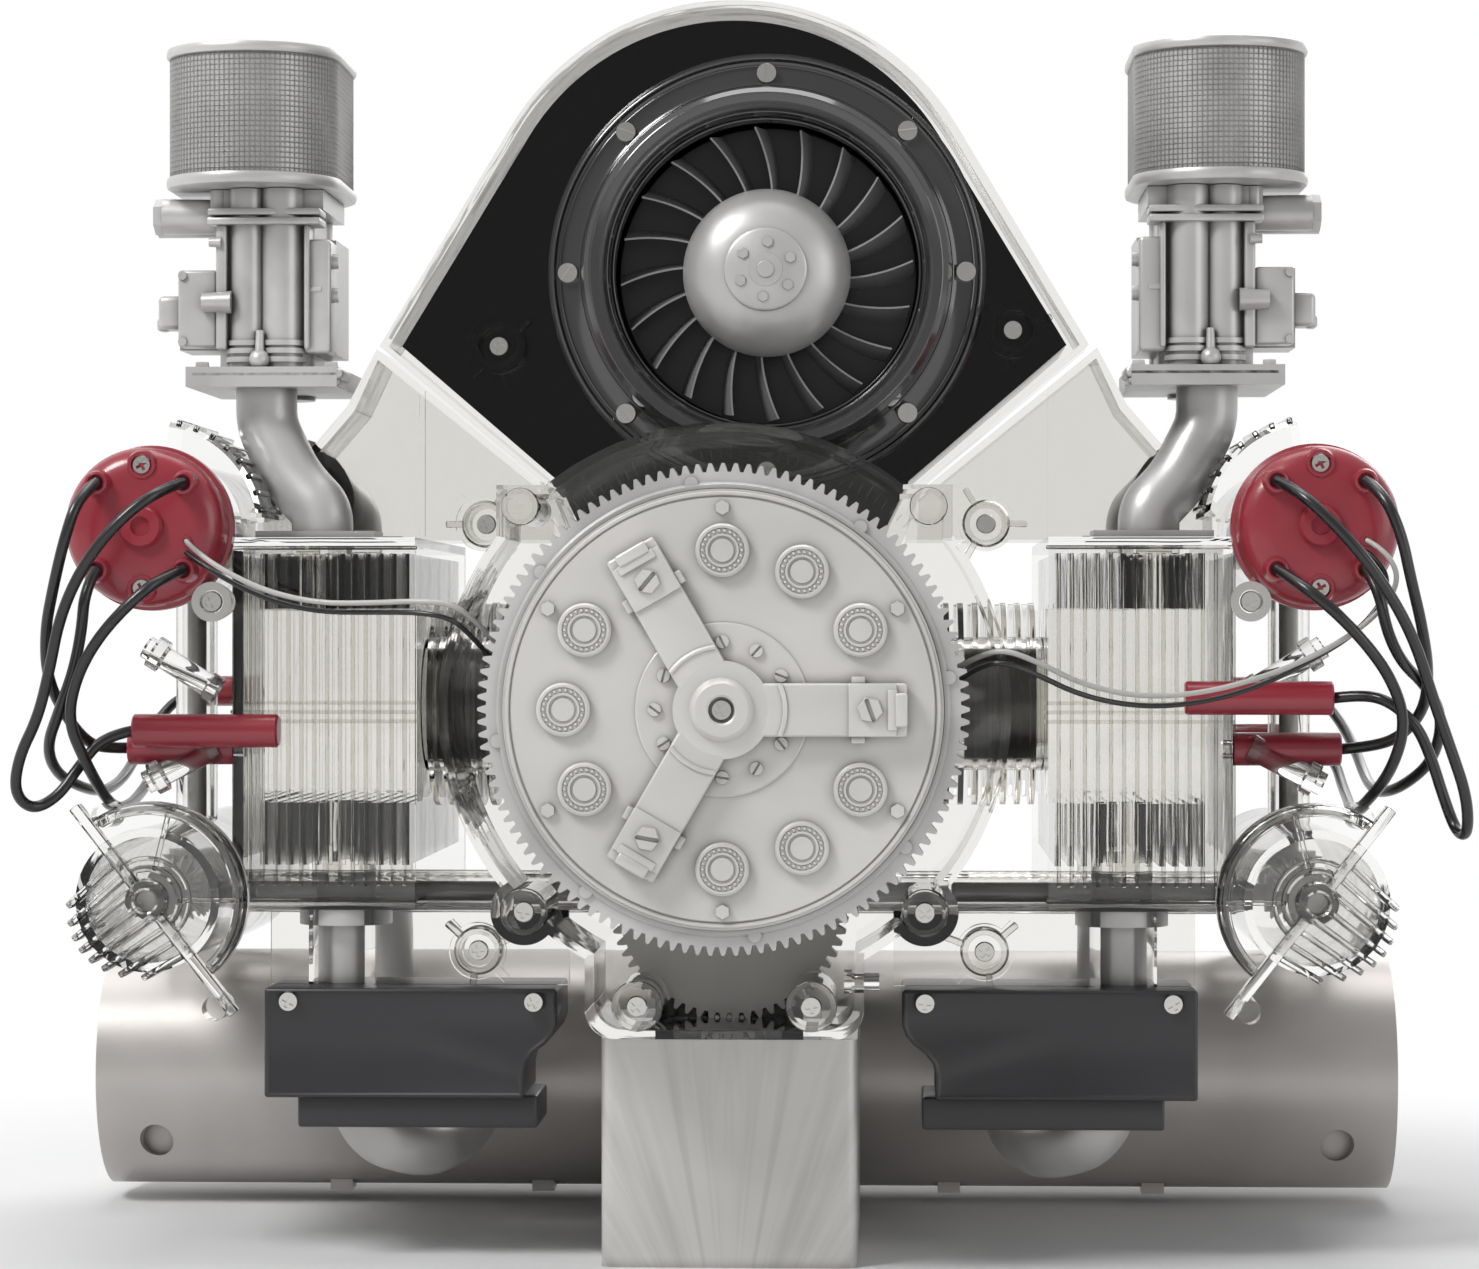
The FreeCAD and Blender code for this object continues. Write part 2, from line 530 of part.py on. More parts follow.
def make_clutch():
    plate = turned("", (("0", "ring_front"), ("clutch_rad", "ring_front"), ("clutch_rad", "clutch_face + 0.8"),
                     ("clutch_rad - 0.8", "clutch_face"), ("inner_disc", "clutch_face"),
                     ("inner_disc", "clutch_face - 0.7"), ("0", "clutch_face - 0.7")), z="crank_z")
    bosses = []
    for angle in (30, 60, 90, 150, 180, 210, 270, 300, 330):
        way = math.radians(angle)
        x, z = f"boss_ring * {math.cos(way):.4f}", f"crank_z + boss_ring * {math.sin(way):.4f}"
        bosses.append(cone_y(x, z, "clutch_face - 2.5", "clutch_face + 1", "boss_rad - 0.6", "boss_rad"))
    node(fused(plate, *bosses), "clutch_plate")
    arms = [along_y("0", "crank_z", "hub_front", "clutch_face - 0.7", "hub_rad")]
    for angle in (0, 120, 240):
        arm = block(("0", "lever_reach"), ("hub_front + 2.2", "clutch_face - 0.7"), ("0 - lever_width / 2", "lever_width / 2"))
        pad = block(("28", "41"), ("hub_front + 1.2", "hub_front + 2.4"), ("-5", "5"))
        foot = block(("30", "40"), ("clutch_face - 0.8", "clutch_face"), ("-4", "4"))
        arms.append(swung(fused(arm, pad, foot), angle, "0", "crank_z"))
    recess = along_y("0", "crank_z", "hub_front - 1", "hub_front + 2.5", "3")
    node(cut(fused(*arms), recess), "clutch_levers")
    heads = []
    for angle in range(30, 390, 60):
        way = math.radians(angle)
        x, z = f"47.6 * {math.cos(way):.4f}", f"crank_z + 47.6 * {math.sin(way):.4f}"
        heads.append(along_y(x, z, "clutch_face - 1.4", "clutch_face", "2"))
    for angle in (0, 120, 240):
        way = math.radians(angle)
        x, z = f"34.5 * {math.cos(way):.4f}", f"crank_z + 34.5 * {math.sin(way):.4f}"
        heads.append(along_y(x, z, "hub_front - 0.6", "hub_front + 1.2", "3.2"))
    heads.append(along_y("0", "crank_z", "hub_front + 0.8", "hub_front + 2.5", "2.4"))
    node(group(*heads), "clutch_bolts")


def bell_outline(wall, low_y, high_y):
    """The bell housing's filled form, smaller by the wall."""
    half = f"bell_half - {wall}"
    lobe = f"lobe_half - {wall}"
    lobe_low = f"lobe_low + {wall}"
    parts = [along_y("0", "crank_z", low_y, high_y, f"bell_rad - {wall}"),
             centred(half, (low_y, high_y), ("crank_z", f"bell_top - {wall}")),
             centred(lobe, (low_y, high_y), (f"{lobe_low} + 6", "crank_z")),
             centred(f"{lobe} - 7", (low_y, high_y), (lobe_low, "crank_z"))]
    for side in (-1, 1):
        parts.append(along_y(f"{side} * lug_x", "lug_z", low_y, high_y, f"lug_rad - {wall}"))
        parts.append(along_y(f"{side} * ({lobe} - 7)", f"{lobe_low} + 7", low_y, high_y, "7"))
    return fused(*parts)


def make_bell_housing():
    outer = bell_outline("0", "bell_front", "bell_back")
    inner = bell_outline("bell_wall", "bell_front - 1", "bell_back - bell_wall")
    lay_z = "crank_z - gear_drop"
    bores = [along_y("0", "crank_z", "bell_back - 5", "bell_back + 1", "journal + run_fit"),
             along_y("0", lay_z, "bell_back - 5", "bell_back + 1", "shaft_rad + run_fit"),
             centred("13", ("gear_front - 0.5", "gear_front + gear_width + 1"), ("lobe_low - 1", "lobe_low + 4"))]
    posts = []
    for x, z, radius, y_high in ((48.3, 184.3, 4.1, "bell_back - 1"), (47.4, 88.4, 5, "bell_back - 1"),
                                 (20.6, 66.1, 5.8, "gear_front - 0.8")):
        for side in (-1, 1):
            posts.append(along_y(f"{side} * {x}", f"{z}", "bell_front", y_high, f"{radius}"))
    button_hole = along_x("25", "40", "-75", "button_z", "2.3")
    node(cut(fused(cut(outer, inner), *posts), *bores, button_hole), "bell_housing")
    button = along_x("29.2", "lobe_half + 3.6", "-75", "button_z", "2.2")
    node(fused(button, along_x("28.2", "30", "-75", "button_z", "3")), "power_button")


# ---------------------------------------------------------------- heads and ducts
def make_heads():
    core = block(("head_in", "head_out"), ("duct_front + 4", "duct_back - 4"), ("crank_z - 24", "crank_z + 24"))
    fins = [core]
    for fin in range(12):
        low = f"head_in + 1.6 + {fin} * 3.2"
        fins.append(block((low, f"{low} + 1.2"), ("duct_front + 3", "duct_back - 3"), ("97", "duct_high - 4")))
    for y in ("runner_y", "31"):
        fins.append(along_z("103.8", y, "crank_z + 10", "duct_high - duct_wall", "pipe_rad"))
    for y in ("exhaust_y", "40"):
        fins.append(along_z("exhaust_x", y, "duct_low + duct_wall", "crank_z - 10", "exhaust_rad"))
    bores = [along_x("duct_out - 5", "duct_out + 1", y, z, "2.3") for y, z in (("-44", "125.8"),)]
    pair(fused(*fins), "cylinder_heads")
    outer = block(("head_in", "duct_out"), ("duct_front", "duct_back"), ("duct_low", "duct_high"))
    inner = block(("head_in - 1", "duct_out - duct_wall"), ("duct_front + duct_wall", "duct_back - duct_wall"),
                  ("duct_low + duct_wall", "duct_high - duct_wall"))
    channel = along_x("head_in - 1", "duct_out + 1", "cross_y", "crank_z - gear_drop", "tube_rad")
    pair(cut(outer, inner, channel, *bores), "air_ducts")


# ---------------------------------------------------------------- fan and shroud
def shroud_face(inset, low_lift=0.0):
    """The shroud's outline: a round crown, straight shoulders and a narrow foot."""
    radius = size("shroud_rad") - inset
    top = Vector(0, 0, size("shroud_z"))
    shoulder = Vector(size("shoulder_x") - 1.1 * inset, 0, size("shoulder_z"))
    reach = shoulder - top
    lean = math.atan2(reach.z, reach.x) + math.acos(radius / reach.Length)
    touch = top + Vector(radius * math.cos(lean), 0, radius * math.sin(lean))
    waist = Vector(size("waist_x") - 0.9 * inset, 0, size("waist_z"))
    foot = Vector(size("foot_x") - inset, 0, size("shroud_low") + low_lift)
    flip = lambda spot: Vector(-spot.x, 0, spot.z)
    crown = Part.Arc(flip(touch), top + Vector(0, 0, radius), touch).toShape()
    ring = [touch, shoulder, waist, foot, flip(foot), flip(waist), flip(shoulder), flip(touch)]
    sides = [Part.LineSegment(one, two).toShape() for one, two in zip(ring, ring[1:])]
    return Part.Face(Part.Wire([crown] + sides))


def shroud_slab(inset, y_low, y_high, low_lift=0.0):
    face = shroud_face(inset, low_lift)
    face.translate(Vector(0, y_low, 0))
    return shaped(face.extrude(Vector(0, y_high - y_low, 0)), "ShroudSlab")


def screw_boss(x, z, y_low, y_high, lean=45):
    """A deep screw boss with two ears, and the hole down it."""
    ears = group(block(("-10", "10"), (f"({y_high}) - 3", y_high), ("-1", "1")))
    boss = fused(along_y(f"{x}", f"{z}", y_low, y_high, "7"), swung(ears, lean, x, z))
    return boss, along_y(f"{x}", f"{z}", f"({y_low}) - 1", f"({y_high}) - 1.5", "4.8")


def make_shroud():
    front, split, back, shell = (size(name) for name in ("shroud_front", "shroud_split", "shroud_back", "shell"))
    inset = size("black_inset")
    bosses = [screw_boss(-58.5, 226, "shroud_front - 6", "shroud_front + 1"),
              screw_boss(69.7, 229.7, "shroud_front - 6", "shroud_front + 1", 100)]
    tunnel = along_y("fan_x", "fan_z", "shroud_front - 1", "shroud_front + 8", "fan_hole")
    clear = cut(fused(shroud_slab(0, front, split), *(boss for boss, _ in bosses)),
                shroud_slab(shell, front + shell, split + 1), tunnel, *(hole for _, hole in bosses))
    black = cut(shroud_slab(inset, front + shell, back, 2), shroud_slab(inset + shell, front + 2 * shell, back - shell, 4),
                along_y("fan_x", "fan_z", "shroud_front - 1", "shroud_front + 8", "fan_hole"),
                along_y("fan_x", "fan_z", "shroud_back - 5", "shroud_back + 1", "4"))
    node(black, "fan_shroud_rear")
    node(turned("", (("fan_hole", "shroud_front - 9"), ("fan_hole + 3", "shroud_front - 10"),
                     ("fan_hole + 5", "shroud_front - 5"), ("46.6", "shroud_front - 2.5"),
                     ("54.6", "shroud_front - 2.5"), ("54.6", "shroud_front"), ("fan_hole", "shroud_front"),
                     ("fan_hole", "shroud_front + 5"), ("fan_hole - 1.2", "shroud_front + 5"),
                     ("fan_hole - 1.2", "shroud_front - 5")), x="fan_x", z="fan_z"), "fan_inlet_ring")
    wing = [(91.5, 226.6), (99, 212.2), (122.5, 184.9), (122.5, 178), (43, 178), (44.5, 188.6), (49.5, 192.4)]
    inner = [(91.3, 224), (97.4, 211), (120.7, 184), (120.7, 177), (46, 177), (46.5, 188), (51, 191.5)]
    slabs = []
    for corners, low, high in ((wing, -18, 20), (inner, -16, 18)):
        outline = Part.makePolygon([Vector(x, low, z) for x, z in corners + corners[:1]])
        slabs.append(shaped(Part.Face(outline).extrude(Vector(0, high - low, 0)), "Wing"))
    boss, hole = screw_boss(63.4, 182, "-27", "-17")
    rib = block(("79", "80.4"), ("-19.5", "-18"), ("179", "216"))
    wing = cut(fused(slabs[0], boss, rib), slabs[1], hole)
    node(group(clear, wing, mirrored(wing)), "fan_shroud_front")


def pulley(radius, x, z, bore):
    """A vee pulley around a shaft."""
    return turned("", ((bore, "pulley_front"), (f"{radius} + 3", "pulley_front"), (f"{radius} + 3", "pulley_front + 2"),
                          (f"{radius} - 1.5", "pulley_front + 3.8"), (f"{radius} - 1.5", "pulley_back - 3.8"),
                          (f"{radius} + 3", "pulley_back - 2"), (f"{radius} + 3", "pulley_back"), (bore, "pulley_back")), x, z)


def make_fan():
    dome = turned("", (("0", "-46"), ("8", "-46"), ("15", "-43.5"), ("19", "-40"), ("fan_hub", "-36"), ("fan_hub", "-34"),
                     ("2", "-34"), ("2", "pulley_back"), ("0", "pulley_back")), x="fan_x", z="fan_z")
    node(fused(dome, pulley("fan_pulley_rad", "fan_x", "fan_z", "0")), "fan_hub")
    x, z = size("fan_x"), size("fan_z")
    inner, outer = size("fan_hub") - 1, size("fan_rad")
    blades = [Part.makeCylinder(size("fan_hub"), 12, Vector(x, -34, z), Vector(0, 1, 0))]
    for index in range(20):
        start = 2 * math.pi * index / 20
        spots = []
        for share in (0, 0.5, 1):
            angle = start + 0.34 * share ** 1.5
            reach = inner + (outer - inner) * share
            spots.append(Vector(x + reach * math.cos(angle), -34, z + reach * math.sin(angle)))
        sheet_face = Part.Arc(*spots).toShape().extrude(Vector(0, 12, 0))
        blades.append(sheet_face.makeOffsetShape(0.9, 0.01, fill=True))
    wheel = blades[0].multiFuse(blades[1:])
    bore = Part.makeCylinder(2, 40, Vector(x, -40, z), Vector(0, 1, 0))
    node(shaped(wheel.cut(bore), "FanWheel"), "fan_rotor")
    dynamo = along_y("fan_x", "fan_z", "shroud_back", "dynamo_back", "dynamo_rad")
    post = centred("12", ("30", "58"), ("case_high", "fan_z"), x="fan_x")
    bore = along_y("fan_x", "fan_z", "shroud_back - 1", "dynamo_back + 1", "2 + run_fit")
    node(cut(fused(dynamo, post), bore), "dynamo")


def make_belt_drive():
    node(pulley("crank_pulley_rad", "0", "crank_z", "0"), "crank_pulley")
    low, high = Vector(0, 0, size("crank_z")), Vector(size("fan_x"), 0, size("fan_z"))
    span = high - low
    faces = []
    for extra in (0.0, 2.0):
        big, small = size("crank_pulley_rad") + extra, size("fan_pulley_rad") + extra
        lean = math.acos((big - small) / span.Length)
        heading = math.atan2(span.z, span.x)
        spot = lambda centre, radius, angle: centre + Vector(radius * math.cos(angle), 0, radius * math.sin(angle))
        left, right = heading + lean, heading - lean
        edges = [Part.LineSegment(spot(low, big, right), spot(high, small, right)).toShape(),
                 Part.Arc(spot(high, small, right), spot(high, small, heading), spot(high, small, left)).toShape(),
                 Part.LineSegment(spot(high, small, left), spot(low, big, left)).toShape(),
                 Part.Arc(spot(low, big, left), spot(low, big, heading + math.pi), spot(low, big, right)).toShape()]
        faces.append(Part.Face(Part.Wire(edges)))
    middle = (size("pulley_front") + size("pulley_back")) / 2
    band = faces[1].cut(faces[0])
    band.translate(Vector(0, middle - 0.9, 0))
    node(shaped(band.extrude(Vector(0, 1.8, 0)), "Belt"), "drive_belt")


# ---------------------------------------------------------------- induction, ignition, exhaust
def make_induction():
    flange = block(("99", "137"), ("-38", "18"), ("carb_low", "carb_low + 5"))
    body = [flange, block(("107", "129.5"), ("-26", "6"), ("carb_low + 5", "carb_high - 6"))]
    for x in ("112.2", "124"):
        for y in ("-26", "6"):
            body.append(along_z(x, y, "carb_low + 5", "carb_high - 6", "6.1"))
    body.append(block(("103.5", "132"), ("-30", "10"), ("carb_high - 6", "carb_high - 1")))
    body.append(block(("101.3", "107"), ("-22", "2"), ("225", "254")))
    body.append(block(("129", "140.8"), ("-24", "-6"), ("226", "246")))
    body.append(along_x("140", "146.3", "-15", "236", "4.5"))
    body.append(along_x("130", "147.5", "-16", "260", "4.7"))
    pair(fused(*body), "carburettors")
    can = []
    for low, high, extra in (("carb_high - 1", "carb_high + 2", "1.2"), ("carb_high + 2", "filter_high - 3", "0"),
                             ("filter_high - 3", "filter_high", "1.2")):
        can.append(block((f"filter_x - filter_rad - {extra}", f"filter_x + filter_rad + {extra}"), ("-24", "4"), (low, high)))
        for y in ("-24", "4"):
            can.append(along_z("filter_x", y, low, high, f"filter_rad + {extra}"))
    for y in ("-24", "4"):
        can.append(along_z("filter_x", y, "filter_high", "filter_high + 2", "3"))
    pair(fused(*can), "air_filters")
    runners = []
    for top_y, low_y in ((size("runner_y") + 5, size("runner_y")), (9, 31)):
        middle_y = (top_y + low_y) / 2
        path = ((118.7, top_y, 216), (118.7, top_y, 207), (111.5, middle_y, 193), (103.8, low_y, 185), (103.8, low_y, 178))
        runners.append(shaped(tube(path, size("pipe_rad")), "Runner"))
        runners.append(block(("89.6", "119.4"), (f"{low_y - 9}", f"{low_y + 9}"), ("duct_high", "duct_high + 1.9")))
    wing_room = block(("80", "130"), ("-18", "20"), ("170", "215"))
    pair(cut(fused(*runners), wing_room), "intake_manifolds")


def make_exhaust():
    radius, x, y = size("exhaust_rad"), size("exhaust_x"), size("exhaust_y")
    fall = ((x, y, 86), (x, y, 62), (x - 1, y, 44), (x - 6, y + 2, 29), (x - 18, y + 14, 24), (x - 24, y + 38, 25),
            (x - 26, y + 60, 29), (x - 26, y + 80, 33))
    drum = along_x("0 - muffler_half", "muffler_half", "muffler_y", "muffler_z", "muffler_rad")
    rear = ((x, 40, 86), (x, 40, 74), (x, 46, 60), (x, 56, 50))
    collar = along_z("exhaust_x", "exhaust_y", "duct_low - 4", "duct_low", "exhaust_rad + 4")
    pipes = fused(shaped(tube(fall, radius), "Downpipe"), shaped(tube(rear, radius), "Stub"), collar)
    pair(cut(pipes, drum), "exhaust_pipes")
    can = [along_x("0 - muffler_half", "muffler_half", "muffler_y", "muffler_z", "muffler_rad")]
    holes = []
    for side in (-1, 1):
        for spot in (55, 110):
            can.append(centred("3", ("muffler_y - 12", "muffler_y - 4"), ("muffler_z - muffler_rad - 0.6", "muffler_z"),
                               x=f"{side * spot}"))
        holes.append(along_y(f"{side * 158}", "18", "muffler_y - 40", "muffler_y - 20", "4.5"))
    node(cut(fused(*can), *holes), "muffler")
    outer = block(("box_in", "box_out"), ("box_front", "box_back"), ("box_low", "box_high"))
    tray = block(("46.5", "106"), ("box_front + 5", "box_back"), ("box_low - 7", "box_low"))
    deep = block(("box_in + box_wall", "box_out - box_wall"), ("box_front + box_wall", "box_back + 1"),
                 ("box_low - 1", "box_high - box_wall"))
    tray_deep = block(("46.5 + box_wall", "106 - box_wall"), ("box_front + 7", "box_back + 1"), ("box_low - 8", "box_low + 1"))
    mouth = along_z("exhaust_x", "exhaust_y", "box_high - 5", "box_high + 1", "exhaust_rad + 0.4")
    notch = block(("box_in - 1", "48.9"), ("box_front - 1", "box_back + 1"), ("box_low - 1", "50.4"))
    round_in = along_y("48.9", "50.4", "box_front - 1", "box_back + 1", "3")
    pair(cut(fused(outer, tray), deep, tray_deep, mouth, notch, round_in), "heater_boxes")
    boss, hole = screw_boss(62.4, 76, "case_front - 3", "case_front + 1.5")
    tin = block(("40", "114"), ("case_front", "case_front + 2"), ("box_high", "duct_low"))
    gap = along_z("exhaust_x", "exhaust_y", "box_high", "duct_low", "exhaust_rad + 4")
    pair(cut(fused(tin, boss), gap, hole), "lower_tins")


def make_distributors():
    towers = []
    for angle in (45, 135, 225, 315):
        way = math.radians(angle)
        x, z = f"cam_x + 15 * {math.cos(way):.4f}", f"intake_z + 15 * {math.sin(way):.4f}"
        towers.append(along_y(x, z, "intake_front - 19", "intake_front - 15", "3"))
    profile = (("0", "intake_front - 16"), ("17", "intake_front - 16"), ("cap_rad", "intake_front - 13"),
               ("cap_rad", "intake_front - 3"), ("cap_rad + 1", "intake_front - 3"), ("cap_rad + 1", "intake_front"),
               ("0", "intake_front"))
    cap = turned("", profile, x="cam_x", z="intake_z")
    centre = along_y("cam_x", "intake_z", "intake_front - 18", "intake_front - 15", "5.3")
    pair(fused(cap, centre, *towers), "distributor_caps")


BOOTS = {  # inner end x, y, z and the outer end's x of each plug boot, right side
    "upper_front": (111, -54.5, 138.5, 147), "lower_front": (123.2, -44, 125.8, 150),
    "upper_rear": (123.2, 62, 138.5, 147), "lower_rear": (123.2, 50, 125.8, 147),
}


def make_boots():
    boots = []
    for side in (1, -1):
        drop = 0 if side > 0 else -8.2
        for key, (inner, y, z, outer) in BOOTS.items():
            ends = (inner, outer) if side > 0 else (-outer, -inner)
            height = z + drop if key.endswith("front") and key.startswith("upper") else z
            boots.append(along_x(str(ends[0]), str(ends[1]), str(y), str(height), "boot_rad"))
        boots.append(along_y(str(side * 114), str(138.5 + drop), "-54.5", "duct_front", "2.2"))
    node(fused(*boots), "spark_plug_boots")


# Each lead's route from its tower to its plug boot, then each wire's from the cap to the bell housing.
LEADS = (
    ((-132, -71, 190.8), (-135, -79.5, 189), (-141.5, -83.5, 184.5), (-149.5, -84, 176.5), (-156, -82, 167),
     (-160.5, -79.5, 157), (-163, -77.5, 146), (-166.5, -74.5, 134), (-173, -70, 125), (-173.5, -67.5, 118.5),
     (-167, -65, 118), (-160.5, -61.5, 122.5), (-154, -56, 129), (-147, -54.5, 130.3)),
    ((-153.2, -71, 190.8), (-156, -78.5, 187), (-159, -80, 177), (-162, -78, 166), (-165, -74, 154.5),
     (-165.5, -68.5, 143), (-162, -62, 133.5), (-158.5, -54.5, 127.5), (-155.5, -47.5, 125.8), (-150, -44, 125.8)),
    ((-132, -71, 169.6), (-136, -79, 167.5), (-143, -82, 161.5), (-151, -80.5, 153), (-157, -76, 143.5),
     (-160, -71, 133), (-156.5, -66, 122.5), (-154, -54, 113.5), (-154, -38, 110.5), (-155, -18, 110.5),
     (-157, 4, 111.5), (-157.5, 22, 114.5), (-157.5, 36, 119.5), (-154, 46.5, 124.8), (-147, 50, 125.8)),
    ((-153.2, -71, 169.6), (-155, -75.5, 164.5), (-156, -74, 155), (-158.5, -71.5, 145), (-162.5, -69, 135.5),
     (-167, -62.5, 126.5), (-166.5, -52.5, 119.5), (-163, -37, 115.5), (-162, -18, 114), (-163, 4, 114.5),
     (-163.5, 24, 117), (-163, 42, 123.5), (-160, 54, 131.5), (-155, 60.5, 137.5), (-147, 62, 138.5)),
    ((132, -71, 190.8), (135.5, -79.5, 188.5), (142.5, -83.5, 182), (151, -84.5, 172.5), (158.5, -82.5, 162),
     (164, -80, 151.5), (168, -77.5, 139.5), (172, -75, 127), (176, -73, 117.5), (178, -71, 111.5),
     (177, -66.5, 114.5), (172.5, -66, 122.5), (166.5, -66, 132), (159, -62, 138.5), (152.5, -56.5, 139.3),
     (147, -54.5, 138.5)),
    ((153.2, -71, 190.8), (156.5, -78, 187.5), (160.5, -79.5, 178), (163, -78, 167), (166, -75, 156),
     (168.5, -68, 145), (168.5, -59, 135.5), (163.5, -53, 129), (157.5, -47, 126.5), (150, -44, 125.8)),
    ((132, -71, 169.6), (136, -79, 166.5), (143.5, -82, 160.5), (151.5, -81, 152.5), (158.5, -77, 143.5),
     (162.5, -72.5, 133), (160, -66.5, 121.5), (155, -55, 113), (154, -39, 110.3), (155, -19, 110.3),
     (157, 3, 111.3), (157.5, 22, 114.5), (157.5, 36, 119.5), (154, 46.5, 124.8), (147, 50, 125.8)),
    ((153.2, -71, 169.6), (155.5, -76.5, 165), (157.5, -75, 155), (162, -69, 147), (168.5, -60.5, 142),
     (174, -52.5, 134), (172.5, -46, 123), (166.5, -36, 116.5), (163, -20, 114), (163, 2, 114.5),
     (163.5, 23, 117), (163, 41, 123.5), (160, 54, 131.5), (155, 60.5, 137.5), (147, 62, 138.5)),
)
WIRES = (
    ((-131.6, -68, 176.7), (-129, -73, 174.5), (-121.5, -76.5, 169.5), (-111, -78.5, 164.5), (-98, -81, 161.5),
     (-84, -86, 161.5), (-72, -91.5, 162), (-63.5, -92.5, 161), (-58.5, -87, 156.5), (-53.5, -80, 150.5),
     (-49.5, -72, 147), (-48.5, -61, 146), (-48.5, -50.2, 146)),
    ((-131.6, -68, 173.9), (-128, -71.5, 171.5), (-120.5, -74, 167), (-110.5, -76, 162.3), (-98, -78.5, 159.4),
     (-84, -83.5, 159.3), (-73, -90.5, 159.3), (-64.5, -92.3, 158), (-60, -87, 153.5), (-55.5, -80, 147.5),
     (-51.5, -72, 144), (-50.5, -61, 143), (-50.5, -50.2, 143)),
    ((153.6, -68, 176.7), (158, -72, 174), (161.3, -72.6, 166.5), (154.6, -72.8, 157.5), (143, -74.3, 150),
     (129, -75.3, 144), (114, -76.5, 140), (99, -79, 139), (85, -84, 142), (74, -91, 147.5),
     (66, -92.5, 150.5), (60.5, -87, 149), (55, -80, 146), (50.5, -71, 144.5), (49.5, -60.5, 144), (49.5, -50.2, 144)),
    ((153.6, -68, 173.9), (157.7, -71, 170.5), (158.3, -71.2, 163.5), (151, -71.5, 154.5), (140.5, -72, 148),
     (127.5, -73, 141.5), (113.5, -74.2, 137.6), (99, -77, 136.6), (84.5, -82, 139.4), (73, -90.2, 145),
     (64.8, -92.9, 147.8), (60, -87, 146), (55.5, -80, 143), (51, -71, 141.5), (50, -60.5, 141), (50, -50.2, 141)),
)


def make_wiring():
    for label, routes, radius in (("ignition_leads", LEADS, "lead_rad"), ("supply_wires", WIRES, "wire_rad")):
        node(group(*(shaped(tube(route, size(radius)), "Lead") for route in routes)), label)


def make_screws():
    screws = []
    for x, z, y in ((20.6, 66.1, -90), (47.4, 88.4, -90)):
        for side in (-1, 1):
            screws.append(along_y(str(side * x), str(z), f"{y} - 1.6", str(y), "2.5"))
    for x, z, y in ((-58.5, 226, "shroud_front - 0.5"), (69.7, 229.7, "shroud_front - 0.5"),
                    (63.4, 182, "-18.5"), (-63.4, 182, "-18.5"), (62.4, 76, "case_front"), (-62.4, 76, "case_front")):
        screws.append(along_y(str(x), str(z), f"{y} - 1.8", y, "2.5"))
    for angle in range(0, 360, 45):
        way = math.radians(angle)
        x, z = f"fan_x + 49.7 * {math.cos(way):.4f}", f"fan_z + 49.7 * {math.sin(way):.4f}"
        screws.append(along_y(x, z, "shroud_front - 4", "shroud_front - 2.5", "2.6"))
    for side in (-1, 1):
        for x in (47.7, 107.8):
            screws.append(along_y(str(side * x), "64.3", "box_front - 1.4", "box_front", "2.5"))
        screws.append(along_y(f"{side} * cam_x", "intake_z + 11.5", "intake_front - 17.4", "intake_front - 16", "2.4"))
    node(group(*screws), "case_screws")


for make in (make_stand, make_motor, make_crankshaft, make_rods_and_pistons, make_crankcase, make_timing_train,
             make_shaft_tubes, make_cam_housings, make_flywheel, make_clutch, make_bell_housing, make_heads,
             make_shroud, make_fan, make_belt_drive, make_induction, make_exhaust, make_distributors, make_boots,
             make_wiring, make_screws):
    make()

doc.recompute()
troubles = []
for item in doc.Objects:
    if {"Invalid", "Error"} & set(item.State):
        troubles.append(f"{item.Name} {item.Label} {item.State}")
for item in NODES:
    if item.Shape.isNull() or not item.Shape.isValid():
        troubles.append(f"{item.Label} has no valid shape")
if troubles:
    raise RuntimeError("; ".join(troubles))

os.makedirs("parts", exist_ok=True)
for item in NODES:
    item.Shape.exportStep(f"parts/{item.Label}.step")
print(len(NODES), "nodes")
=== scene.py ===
import functools
import math

import bmesh
import bpy
from bpy.props import FloatProperty, FloatVectorProperty, IntProperty, PointerProperty
from mathutils import Matrix, Vector


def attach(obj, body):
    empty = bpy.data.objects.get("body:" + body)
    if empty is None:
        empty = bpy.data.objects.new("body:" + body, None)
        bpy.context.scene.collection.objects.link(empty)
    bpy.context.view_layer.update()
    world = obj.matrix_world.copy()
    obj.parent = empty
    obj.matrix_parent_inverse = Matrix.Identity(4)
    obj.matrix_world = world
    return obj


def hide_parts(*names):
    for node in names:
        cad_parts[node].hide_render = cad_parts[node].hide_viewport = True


bl_info = {"name": "Clear Flat-Four Model Engine", "version": (1, 0, 0), "blender": (4, 5, 0),
           "location": "View3D > Sidebar > Flat Four",
           "description": "Dresses a clear, motor-driven flat-four model engine on its box stand",
           "category": "Object",}

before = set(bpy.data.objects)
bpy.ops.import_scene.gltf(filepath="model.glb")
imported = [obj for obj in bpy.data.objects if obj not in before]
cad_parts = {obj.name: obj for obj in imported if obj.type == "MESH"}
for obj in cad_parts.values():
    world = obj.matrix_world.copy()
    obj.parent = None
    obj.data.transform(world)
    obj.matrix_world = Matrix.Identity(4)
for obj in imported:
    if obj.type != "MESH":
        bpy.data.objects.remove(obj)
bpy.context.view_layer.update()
MM = 0.001
CRANK_Z = 136.4
CAM_X = 142.6
LAY_Z = 88.9
INTAKE_Z = 180.2
FAN = (8.4, 244.3)
FILTER_X = 121.8
FILTER_STRAIGHT = 28.0
FILTER_MIDDLE_Y = -10
SILENCER_Y, SILENCER_Z = 65, 35.5
BOX_LOW, BOX_HIGH = 40.7, 67.5
SIDES = ((-1, "left"), (1, "right"))

